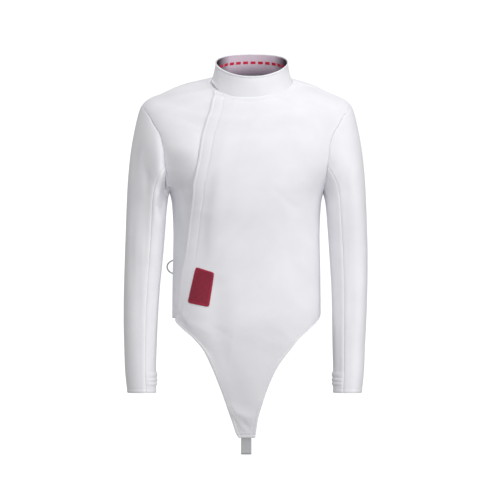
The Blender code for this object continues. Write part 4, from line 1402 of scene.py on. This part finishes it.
@dataclass(frozen=True)
class Sleeve:
    """One sleeve: an outer and an under piece, joined by a front and a back seam."""

    side: Side
    form: SleeveForm
    hem: Edging = Edging(roll=0.6, reach=1.6, swell=0.35, swell_at=3.4, swell_width=2.4)
    hem_row: tuple[float, float] = (0.4, 0.9)
    armhole_roll: float = 1.2
    armhole_reach: float = 5.0
    measured_at: float = 0.35
    outer_columns: int = 60
    under_columns: int = 34
    outer_creases: SleeveCreases = (
        ((0.16, 0.46, 0.30), -1.6, 9.0),
        ((0.34, 0.30, 0.62), -1.3, 10.0),
        ((0.40, 0.50, 0.78), 0.9, 6.0),
        ((0.42, -0.34, 0.60), -1.6, 9.0),
        ((0.12, -0.42, 0.30), -1.5, 10.0),
    )
    under_creases: SleeveCreases = (
        ((0.40, 0.84, 0.97), 1.6, 8.0),
        ((0.10, 1.18, 0.26), -1.5, 8.0),
        ((0.44, 1.12, 0.58), 1.0, 8.0),
    )

    def crease(self, line: tuple[float, float, float], depth: float, width: float) -> Crease:
        """A crease down the sleeve from (first place, turn, last place)."""
        first, turn, last = line
        places = np.linspace(first, last, 6)
        turns = turn + 0.03 * np.sin(np.linspace(0, 5, 6) + 9 * turn)
        points = np.array([self.form.surface(np.array([p]), np.array([t]))[0, 0] for p, t in zip(places, turns)])
        return Crease(tuple(map(tuple, points)), depth, width)

    def panel(self, first: float, last: float, middle: int, under: bool) -> Panel:
        """The outer face between two turns.

        Args:
            first: the turn where it starts.
            last: the turn where it ends.
            middle: number of even columns.
            under: whether it is the under piece, with the gathers.

        Returns:
            The panel of the left sleeve.
        """
        places = self.form.places()
        probe = np.linspace(first, last, 241)
        lengths = lengths_along(self.form.surface(np.array([self.measured_at]), probe), 1)[0]
        distances = spread(lengths[-1], SLEEVE_SEAM.distances(), SLEEVE_SEAM.distances(), middle, SHORT_ROW)
        points = self.form.surface(places, np.interp(distances, lengths, probe))
        normals = unit(np.cross(np.gradient(points, axis=1), np.gradient(points, axis=0)))
        panel = Panel(parted(points), normals)
        armhole = self.armhole_roll * falling(panel.from_top, self.armhole_reach)
        height = SLEEVE_SEAM.height(panel.from_start) + SLEEVE_SEAM.height(panel.from_end)
        height = height - armhole + self.hem.height(panel.from_foot)
        dip, width = self.hem_row
        height = height - dip * bell(points[..., 2] - self.form.hem_z, width)
        for line, depth, width in self.under_creases if under else self.outer_creases + self.form.own_creases:
            height = height + self.crease(line, depth, width).height(points)
        return panel.raised(height + self.form.gathers(panel) if under else height)

    def mirrored(self, panel: Panel) -> Panel:
        """The panel on this sleeve's own side; both sleeves lean a little to the wearer's right."""
        if self.side is Side.RIGHT:
            flip = np.array([-1, 1, 1])
            panel = Panel(panel.points[:, ::-1] * flip, panel.normals[:, ::-1] * flip)
        leaning = self.form.lean * smoothstep((self.form.leans_from - panel.points[..., 2:]) / self.form.leans_over)
        return Panel(panel.points - leaning * (1, 0, 0), panel.normals)

    def row_at(self, panel: Panel, z: float) -> Line:
        """The line of a panel at a height, for a row of stitches."""
        return picked_run(panel, np.abs(panel.points[..., 2] - z), 0, slice(2, -2))

    def build(self) -> None:
        """Make both pieces and their stitches."""
        word = self.side.name.lower()
        turn = self.form.seam_turn
        outer = self.mirrored(self.panel(-turn, turn, self.outer_columns, False))
        under = self.mirrored(self.panel(turn, 2 - turn, self.under_columns, True))
        for name, panel, held in (("outer", outer, "draped"), ("under", under, "gathered")):
            make_cloth(f"sleeve_{name}_{word}_cloth", panel, f"sleeve_{name}_{word}")
        runs = [self.row_at(panel, self.form.hem_z) for panel in (outer, under)]
        make_stitches(f"sleeve_{word}_stitches", runs + [self.row_at(under, z) for z in self.form.stitch_z])


@dataclass(frozen=True)
class Collar:
    """Stand collar round the neck, which laps over its own end, with a mesh lining inside."""

    wall: float = CLOTH_WALL
    high: float = 44.0
    degrees_per_mm: float = 0.72
    step: float = 2.4
    lining_wall: float = 1.0
    gap: float = 0.3
    start: float = -75.0
    turn: float = 405.0
    lap_end: float = -30.0
    lift_gone: float = 0.0
    rise: float = 0.4
    fall_in: float = 1.5
    lining: tuple[float, float, float, float] = (-21.0, 330.0, -0.12, 0.95)
    top: tuple[float, ...] = (50.7, 20.5, 66.8, 75.5, -86.5, 58, 11.3, -10, 2.0)
    rim: Edging = Edging(roll=1.0, reach=1.4, swell=1.1, swell_at=2.2, swell_width=1.7, rows=(4.8,), row_dip=0.5)
    base: Edging = Edging(roll=0.0, reach=2.0, swell=0.2, swell_at=7.0, rows=(6.6,), row_dip=0.3)
    lap: Edging = Edging(roll=0.9, reach=1.8, swell=0.5, swell_at=3.0, swell_width=2.2, rows=(5.5,), row_dip=0.5)
    tuck: float = -0.1
    corner_degrees: float = 20.0
    corner_share: float = 0.45
    corner_up: float = 0.2
    corner_out: float = 2.6
    dash_degrees: tuple[float, float] = (118.0, 262.0)
    dash_band: tuple[float, float] = (0.45, 0.60)
    sway_height: float = 0.5
    sway_waves: float = 4.3
    lap_fullness: float = 0.9
    lap_full_at: float = -58.0
    dash_wall: float = 0.4
    dash_length: float = 8.0
    dash_pitch: float = 12.0

    def ring(self, share: Array) -> dict[str, Array]:
        """Ring between the neck seam and the collar's top edge."""
        low = BODY.rings.at(np.array(BODY.neck))
        ring = {name: low[name] + (high - low[name]) * share for name, high in zip(BODY.rings.columns, self.top)}
        ring["half_width"] = ring["half_width"] - self.fall_in * np.sin(math.pi * share)
        return ring

    def point(self, degrees: Array, share: Array, offset: Array) -> Array:
        """Point of the collar, moved out of its plain form by an offset."""
        moved = self.normal(degrees, share) * np.asarray(offset)[..., None] + (0, 0, self.rise)
        return ellipse_point(self.ring(share), np.radians(degrees)) + moved

    def normal(self, degrees: Array, share: Array) -> Array:
        """Unit vector out of the collar."""
        angle = np.radians(degrees)
        around = ellipse_point(self.ring(share), angle + 0.02) - ellipse_point(self.ring(share), angle - 0.02)
        upward = ellipse_point(self.ring(1.0), angle) - ellipse_point(self.ring(0.0), angle)
        return unit(np.cross(around, upward))

    def lift(self, degrees: Array) -> Array:
        """How far the lapping end stands out over the collar's own start."""
        return FLAP.lift * np.clip((self.lift_gone - degrees) / (self.lift_gone - self.lap_end), 0, 1)

    def band(self, degrees: Array, shares: Array, depth: float) -> Panel:
        """A band round the neck at a depth below the collar's outer face; rows run downwards."""
        degrees, shares = np.meshgrid(degrees, shares)
        below = np.clip(1 - shares / self.corner_share, 0, 1.3) ** 2
        corner = bell(degrees - self.start, self.corner_degrees) * below
        shares = shares + self.corner_up * corner
        points = self.point(degrees, shares, self.lift(degrees) - depth + self.corner_out * corner)
        return Panel(points, self.normal(degrees, shares))

    def build(self) -> None:
        """Make the collar, its lining and the stitches."""
        rim_rows = {1.0, *(1 - d / self.high for d in self.rim.distances() if d < 9)}
        base_rows = {self.tuck, 0.0, *(d / self.high for d in self.base.distances() if d < 8)}
        rows = np.array(sorted({*rim_rows, *base_rows, *np.linspace(0.22, 0.78, 9)}, reverse=True))
        near = [self.start + d * self.degrees_per_mm for d in self.lap.distances()]
        end = self.start + self.turn
        columns = np.array([self.start, *near, *np.arange(near[-1] + self.step, end - 1, self.step), end])
        panel = self.band(columns, rows, 0.0)
        height = self.rim.height(panel.from_top) + self.base.height(panel.from_foot)
        panel = panel.raised(height + self.lap.height(panel.from_start) + self.sway(columns, rows))
        make_cloth("collar_cloth", panel, "collar")
        runs = [
            row_run(panel, self.rim.rows[0], columns=slice(6, -2)),
            row_run(panel, self.base.rows[0], from_foot=True, columns=slice(6, -2)),
            column_run(panel, self.lap.rows[0], rows=slice(6, -5)),
        ]
        make_stitches("collar_stitches", runs)
        self.build_lining()

    def sway(self, columns: Array, rows: Array) -> Array:
        """Soft unevenness of the stiffened band, most by its lap."""
        degrees, shares = np.meshgrid(columns, rows)
        wave = self.sway_height * np.sin(np.radians(degrees) * self.sway_waves + 0.6)
        by_lap = self.lap_fullness * bell(degrees - self.lap_full_at, 9)
        return (wave + by_lap) * np.sin(math.pi * shares)

    def build_lining(self) -> None:
        """Make the mesh lining and its plain woven dashes."""
        first, last, low, high = self.lining
        depth = self.wall + self.gap
        panel = self.band(np.arange(first, last + 0.1, 3.0), np.linspace(high, low, 12), depth)
        make_cloth("collar_lining_mesh", panel, "collar_lining", COLLAR_MESH, self.lining_wall)
        self.build_dashes(depth + self.lining_wall)

    def build_dashes(self, depth: float) -> None:
        """Plain dashes of red yarn across the back of the lining, as one mesh."""
        dashes = []
        low, high = self.dash_band
        for middle in np.arange(*self.dash_degrees, self.dash_pitch):
            degrees = np.linspace(middle - self.dash_length / 2, middle + self.dash_length / 2, 6)
            panel = self.band(degrees, np.linspace(high, low, 4), depth)
            dashes.append(cloth_sheet(f"dash_{len(dashes)}", panel, self.dash_wall, RED_YARN))
        deselect_all()
        for dash in dashes:
            dash.select_set(True)
        bpy.context.view_layer.objects.active = dashes[0]
        bpy.ops.object.join()
        finish_piece(name_piece(dashes[0], "collar_lining_dashes", RED_YARN), RED_YARN, JACKET)


def ribbon(route: Array, thickness: float, width: float, across: Sequence[float], columns: int) -> Panel:
    """The outer face of a flat band swept along a route that runs square to the direction across."""
    half = unit(np.array(across, float)) * width / 2
    out = unit(np.cross(np.gradient(route, axis=0), half))
    shares = np.linspace(-1, 1, columns)[None, :, None]
    points = (route + out * thickness / 2)[:, None] + half * shares
    return Panel(points, np.repeat(out[:, None], columns, axis=1))


@dataclass(frozen=True)
class CrotchStrap:
    """Elastic webbing from behind the apron's tip, round between the legs, to the back hem."""

    width: float = 22.0
    wall: float = 2.0
    x: float = -0.5
    top_z: float = -712.0
    low_z: float = -774.0
    turn: float = 7.0
    sewn_back: float = 24.0
    bow: float = 10.0
    ease: float = 0.9
    cloth: float = 2.3
    rib_pitch: float = 3.0
    rib_height: float = 0.12
    edge_roll: float = 0.5
    edge_reach: float = 1.8
    tacks: tuple[tuple[float, float], ...] = ((0.0, -727.0), (0.0, -732.5), (math.pi, -482.0), (math.pi, -474.0))
    tack_lift: float = 0.4

    def route(self) -> Array:
        """Its middle line."""
        clear = self.cloth + self.wall / 2 + self.ease
        hem_z = BODY.hem - Back.dip

        def at(angle: float, z: Array, away: float) -> Array:
            """Points behind the front or the back, at some heights."""
            return np.stack([np.full(len(z), self.x), BODY.point(angle, z)[:, 1] + away, z], axis=1)

        front = at(0.0, np.linspace(self.top_z, BODY.tip, 7), clear)
        way = front[-1] - front[-2]
        turn_z = self.low_z + self.turn + self.wall / 2
        foot = front[-1] + way * (turn_z - front[-1][2]) / way[2]
        straight = front[-1] + (foot - front[-1]) * np.linspace(0, 1, 8)[1:-1, None]
        turns = np.linspace(0, math.pi, 17)[:, None]
        centre = foot + np.array([0, self.turn, 0])
        bend = centre + self.turn * np.concatenate([0 * turns, -np.cos(turns), -np.sin(turns)], axis=1)
        end = at(math.pi, np.array([hem_z - self.ease]), -clear)[0]
        shares = np.linspace(0, 1, 50)[1:, None]
        bow = np.concatenate([0 * shares, self.bow * np.sin(math.pi * shares), 0 * shares], axis=1)
        rise = bend[-1] + (end - bend[-1]) * shares + bow
        sewn = at(math.pi, np.linspace(hem_z + 4, hem_z + self.sewn_back, 5), -clear)
        return np.concatenate([front, straight, bend, rise, sewn])

    def build(self) -> None:
        """Make the webbing and the bar tacks that hold it."""
        panel = ribbon(self.route(), self.wall, self.width, (1, 0, 0), 13)
        rib = self.rib_height * np.sin(2 * math.pi * panel.from_top / self.rib_pitch)
        edge = -self.edge_roll * falling(np.minimum(panel.from_start, panel.from_end), self.edge_reach)
        panel = panel.raised(rib + edge)
        make_cloth("crotch_strap_webbing", panel, "crotch_strap", GREY_WEBBING, self.wall - 0.2)
        self.build_tacks()

    def build_tacks(self) -> None:
        """Rows of stitches across the apron's tip and the back hem, which hold the strap."""
        runs = []
        side = np.linspace(-10, 10, 12)
        for angle, z in self.tacks:
            place = BODY.place_seen(side + self.x, np.full(len(side), z), behind=angle > 1)
            normals = BODY.normal(*place)
            runs.append((BODY.point(*place) + normals * self.tack_lift, normals))
        make_stitches("strap_bar_tacks", runs)


@dataclass(frozen=True)
class HipPatch:
    """Plain red woven patch on the hip, leaning with the flap, its border satin stitched."""

    wall: float = 1.2
    gap: float = 0.3
    corners: tuple[tuple[float, float], ...] = ((-105.2, -378), (-67, -389.8), (-78.8, -462), (-121.4, -453))
    wide: float = 40.0
    high: float = 75.0
    border: float = 4.6
    raise_by: float = 0.45
    round_by: float = 3.0
    round_over: float = 5.0
    round_share: float = 0.35
    edge_roll: float = 0.8
    edge_reach: float = 1.2
    border_ramp: float = 0.9
    settle: float = 0.1

    def shares(self) -> Line:
        """Shares of the patch across and down, rounded in at its four corners."""

        def close_at_ends(ends: Sequence[float], middle: Array) -> Array:
            """Shares that lie close together at both ends alike."""
            return np.concatenate([ends, middle, 1 - np.array(ends)[::-1]])

        across = close_at_ends((0, 0.02, 0.05, 0.09, 0.12, 0.15), np.linspace(0.22, 0.78, 12))
        down = close_at_ends((0, 0.01, 0.03, 0.05, 0.065, 0.085), np.linspace(0.12, 0.88, 22))
        across, down = np.meshgrid(across, down)
        sides = ((across, self.wide), (down, self.high))
        near = [np.clip(1 - np.minimum(s, 1 - s) * size / self.round_over, 0, 1) for s, size in sides]
        pull = self.round_by * near[0] * near[1] * self.round_share
        across, down = (s + np.where(s < 0.5, 1, -1) * pull / size for s, size in sides)
        return across, down

    def build(self) -> None:
        """Make the patch and mark its border for the finish."""
        across, down = self.shares()
        top_left, top_right, low_right, low_left = (np.array(corner, float) for corner in self.corners)
        top = top_left + (top_right - top_left) * across[..., None]
        low = low_left + (low_right - low_left) * across[..., None]
        seen = top + (low - top) * down[..., None]
        angles, levels = BODY.place_seen(seen[..., 0], seen[..., 1])
        start = EDGES.flap_start(levels)
        probe = start[..., None] + (angles - start)[..., None] * np.linspace(0, 1, 40)
        distance = lengths_along(BODY.point(probe, levels[..., None]), 2)[..., -1]
        normals = BODY.normal(angles, levels)
        offset = FLAP.height(distance, levels) + self.gap + self.wall
        panel = Panel(BODY.point(angles, levels) + normals * offset[..., None], normals)
        panel = panel.raised(MainFront().folds(panel))
        inside = np.minimum.reduce([panel.from_start, panel.from_end, panel.from_top, panel.from_foot])
        edge = smoothstep((self.border - inside) / self.border_ramp)
        roll = -self.edge_roll * falling(inside, self.edge_reach)
        sewn = panel.raised(edge * self.raise_by + roll - self.settle)
        piece = cloth_sheet("hip_patch_weave", sewn, self.wall, RED_BADGE)
        self.mark(piece, panel, edge)
        finish_piece(piece, RED_BADGE, JACKET, "hip_patch")
        declare_cloth(piece, panel)

    def mark(self, piece: Piece, panel: Panel, edge: Array) -> None:
        """Write how much each point belongs to the border, which the finish reads."""
        known = panel.points.reshape(-1, 3)[::3] * MM
        values = edge.reshape(-1)[::3]
        attribute = piece.data.attributes.new("border", "FLOAT", "POINT")
        points = np.array([tuple(vertex.co) for vertex in piece.data.vertices])
        nearest = [int(np.argmin(((known - point) ** 2).sum(axis=1))) for point in points]
        attribute.data.foreach_set("value", values[nearest].astype(np.float32))


@dataclass(frozen=True)
class HipRing:
    """Wire D-ring in a folded tape, behind the side seam on the wearer's right."""

    z: float = -381.0
    wire: float = 3.2
    half_height: float = 15.0
    depth: float = 20.0
    bar_x: float = -147.0
    bar_half: float = 11.5
    corner: float = 9.0
    tape_wall: float = 1.2
    tape_width: float = 20.0
    tape_length: float = 24.0
    clear: float = 0.3
    double_from: float = 9.0
    box_ends: tuple[float, float] = (11.0, 21.5)
    box_middle: float = 15.0
    box_half: float = 7.5

    def seat(self) -> tuple[float, Array]:
        """Angle of the ring's place on the back, and the middle of its bar."""
        stand_off = 2 * self.clear + self.tape_wall + self.wire / 2
        low, high = BODY.side, BODY.side + 1.0
        for _ in range(HALVINGS):
            angle = -(low + high) / 2
            bar = BODY.point(angle, self.z) + BODY.normal(angle, self.z) * stand_off
            low, high = (-angle, high) if bar[0] < self.bar_x else (low, -angle)
        return angle, bar

    def build(self) -> None:
        """Make the tape, its stitches and the ring."""
        angle, bar = self.seat()
        self.build_tape(angle, bar)
        self.build_wire(bar)

    def build_tape(self, angle: float, bar: Array) -> None:
        """Tape folded round the bar, its ends sewn to the back one on the other."""
        normal = BODY.normal(angle, self.z)
        forward = np.cross(normal, (0, 0, 1))
        angles = np.linspace(angle, angle - 1, 200)
        lengths = lengths_along(BODY.point(angles, self.z), 0)
        lower = self.clear + self.tape_wall / 2
        upper = lower + self.tape_wall + self.clear
        loop = self.wire / 2 + self.clear + self.tape_wall / 2

        def on_back(distances: Array, height: float) -> Array:
            """Points over the back at some distances behind the ring."""
            there = np.interp(distances, lengths, angles)
            return BODY.point(there, self.z) + BODY.normal(there, self.z) * height

        turns = np.linspace(0, math.pi, 15)[:, None]
        round_bar = bar + loop * (forward * np.sin(turns) - normal * np.cos(turns))
        top = on_back(np.linspace(self.double_from, self.tape_length, 9), upper)
        route = np.concatenate([on_back(np.linspace(self.tape_length, 3, 12), lower), round_bar, top])
        panel = ribbon(route, self.tape_wall, self.tape_width, (0, 0, 1), 13)
        make_cloth("hip_ring_tape", panel, "ring_tape", WHITE_TAPE, self.tape_wall)
        face = BODY.normal(float(np.interp(self.box_middle, lengths, angles)), self.z)
        lift, high = upper + self.tape_wall / 2, np.array([0, 0, self.box_half])
        near, far = (on_back(np.array([distance]), lift)[0] for distance in self.box_ends)
        across = on_back(np.linspace(*self.box_ends, 6), lift)
        ends = ((near - high, near + high), (far - high, far + high))
        crossing = ((near - high, far + high), (near + high, far - high))
        box = [*map(np.array, ends), across - high, across + high, *map(np.array, crossing)]
        make_stitches("hip_ring_box_stitch", [(line, np.repeat(face[None], len(line), axis=0)) for line in box])

    def build_wire(self, bar: Array) -> None:
        """The ring as a curve with a round bevel, closed at its bar."""
        line = [(0.0, 0.0, z) for z in np.linspace(-self.bar_half, self.bar_half, 9)]
        for degrees in np.linspace(self.corner, 180 - self.corner, 41):
            turn = math.radians(degrees)
            line.append((-self.depth * math.sin(turn), 0.0, self.half_height * math.cos(turn)))
        curve = bpy.data.curves.new("hip_ring_wire", "CURVE")
        curve.dimensions = "3D"
        curve.bevel_depth = self.wire / 2 * MM
        curve.bevel_resolution = 5
        spline = curve.splines.new("POLY")
        spline.points.add(len(line) - 1)
        for place, point in zip(spline.points, line):
            place.co = (*((np.array(point) + bar) * MM), 1)
        spline.use_cyclic_u = True
        ring = bpy.data.objects.new("hip_ring_wire", curve)
        bpy.context.collection.objects.link(ring)
        make_active(ring)
        bpy.ops.object.convert(target="MESH")
        ring = bpy.context.object
        ring.data.shade_smooth()
        finish_piece(name_piece(ring, "hip_ring_wire", NICKEL_WIRE), NICKEL_WIRE, HIP_RING, "d_ring")


# Studio


@dataclass(frozen=True)
class Lamp:
    """A soft box: where it stands, how big it is and how bright."""

    name: str
    place: tuple[float, float, float]
    size: float
    watts: float


@dataclass(frozen=True)
class Studio:
    """White sweep, soft boxes and a long lens at the photograph's angle."""

    aim: tuple[float, float, float] = (0.0074, 0.0, -0.3444)
    lit_middle: tuple[float, float, float] = (0.0, 0.0, -0.3)
    distance: float = 20.0
    azimuth: float = 0.0
    elevation: float = 1.2
    field: float = 1.05
    floor_z: float = -1.42
    front_y: float = -9.0
    wall_y: float = 25.0
    wall_height: float = 60.0
    bend: float = 3.0
    sweep_half_width: float = 75.0
    glow: float = 0.75
    sensor: float = 36.0
    world: float = 0.38
    lamps: tuple[Lamp, ...] = (
        Lamp("high_key", (0.398, -2.259, 2.977), 1.3, 24.0),
        Lamp("high_left_box", (-0.732, -2.732, 2.528), 1.4, 31.0),
        Lamp("right_key", (3.255, -1.879, 1.068), 1.4, 23.5),
        Lamp("front_right_box", (1.992, -3.451, 0.049), 1.6, 41.5),
        Lamp("back_box", (0.0, 1.3, 1.952), 1.6, 10.0),
    )

    def build(self) -> None:
        """Make the sweep, the lamps, the world and the camera."""
        self.build_sweep()
        for lamp in self.lamps:
            self.build_lamp(lamp)
        world = bpy.data.worlds.new("studio")
        world.use_nodes = True
        background = world.node_tree.nodes["Background"]
        background.inputs["Color"].default_value = linear("#FFFFFF")
        background.inputs["Strength"].default_value = self.world
        bpy.context.scene.world = world
        bpy.context.scene.view_settings.view_transform = "Standard"
        self.build_camera()

    def build_sweep(self) -> None:
        """Floor and backdrop in one curved sheet of white paper."""
        deselect_all()
        bpy.ops.mesh.primitive_plane_add(size=1)
        sweep = bpy.context.object
        sweep.name = "paper_sweep"
        for vertex in sweep.data.vertices:
            back = vertex.co.y > 0
            x, y = vertex.co.x * 2 * self.sweep_half_width, self.wall_y if back else self.front_y
            vertex.co = Vector((x, y, self.floor_z))
        bpy.ops.object.mode_set(mode="EDIT")
        bpy.ops.mesh.select_all(action="DESELECT")
        bpy.ops.mesh.select_mode(type="EDGE")
        bpy.ops.object.mode_set(mode="OBJECT")
        for edge in sweep.data.edges:
            edge.select = all(sweep.data.vertices[i].co.y > 0 for i in edge.vertices)
        bpy.ops.object.mode_set(mode="EDIT")
        bpy.ops.mesh.extrude_region_move(TRANSFORM_OT_translate={"value": (0, 0, self.wall_height)})
        bpy.ops.object.mode_set(mode="OBJECT")
        for edge in sweep.data.edges:
            ends = [sweep.data.vertices[i].co for i in edge.vertices]
            edge.select = all(max(abs(end.y - self.wall_y), abs(end.z - self.floor_z)) < MM for end in ends)
        bpy.ops.object.mode_set(mode="EDIT")
        bpy.ops.mesh.bevel(offset=self.bend, segments=12)
        bpy.ops.object.mode_set(mode="OBJECT")
        sweep.data.shade_smooth()
        paper = Finish("white_paper_sweep", "#FFFFFF", 0.9).material()
        shader = paper.node_tree.nodes["Principled BSDF"]
        shader.inputs["Emission Color"].default_value = linear("#FFFDFE")
        shader.inputs["Emission Strength"].default_value = self.glow
        sweep.data.materials.append(paper)
        sweep.visible_diffuse = False
        sweep.visible_glossy = False

    def build_lamp(self, lamp: Lamp) -> None:
        """One soft box, turned to the jacket."""
        light = bpy.data.lights.new(lamp.name, "AREA")
        light.shape = "DISK"
        light.size = lamp.size
        light.energy = lamp.watts
        holder = bpy.data.objects.new(lamp.name, light)
        holder.location = lamp.place
        way = Vector(self.lit_middle) - Vector(lamp.place)
        holder.rotation_euler = way.to_track_quat("-Z", "Y").to_euler()
        bpy.context.collection.objects.link(holder)

    def build_camera(self) -> None:
        """A long lens, almost level with the waist."""
        camera = bpy.data.cameras.new("camera")
        camera.sensor_width = self.sensor
        camera.lens = self.sensor * self.distance / self.field
        camera.clip_end = 60.0
        turn, rise = math.radians(self.azimuth), math.radians(self.elevation)
        away = Vector((math.sin(turn) * math.cos(rise), -math.cos(turn) * math.cos(rise), math.sin(rise)))
        holder = bpy.data.objects.new("camera", camera)
        holder.location = Vector(self.aim) + away * self.distance
        holder.rotation_euler = (-away).to_track_quat("-Z", "Y").to_euler()
        bpy.context.collection.objects.link(holder)
        bpy.context.scene.camera = holder


def main() -> None:
    """Build the jacket's pieces in the order in which they are sewn, then the studio."""
    logging.basicConfig(level=logging.INFO, format="%(name)s: %(message)s")
    pieces = (
        MainFront(), UnderFront(), Zip(), Back(), Sleeve(Side.LEFT, LEFT_FORM), Sleeve(Side.RIGHT, RIGHT_FORM),
        Collar(), CrotchStrap(), HipPatch(), HipRing(),
    )
    for piece in pieces:
        piece.build()
        LOG.info("%s is done", type(piece).__name__)
    Studio().build()


if __name__ == "__main__":
    main()
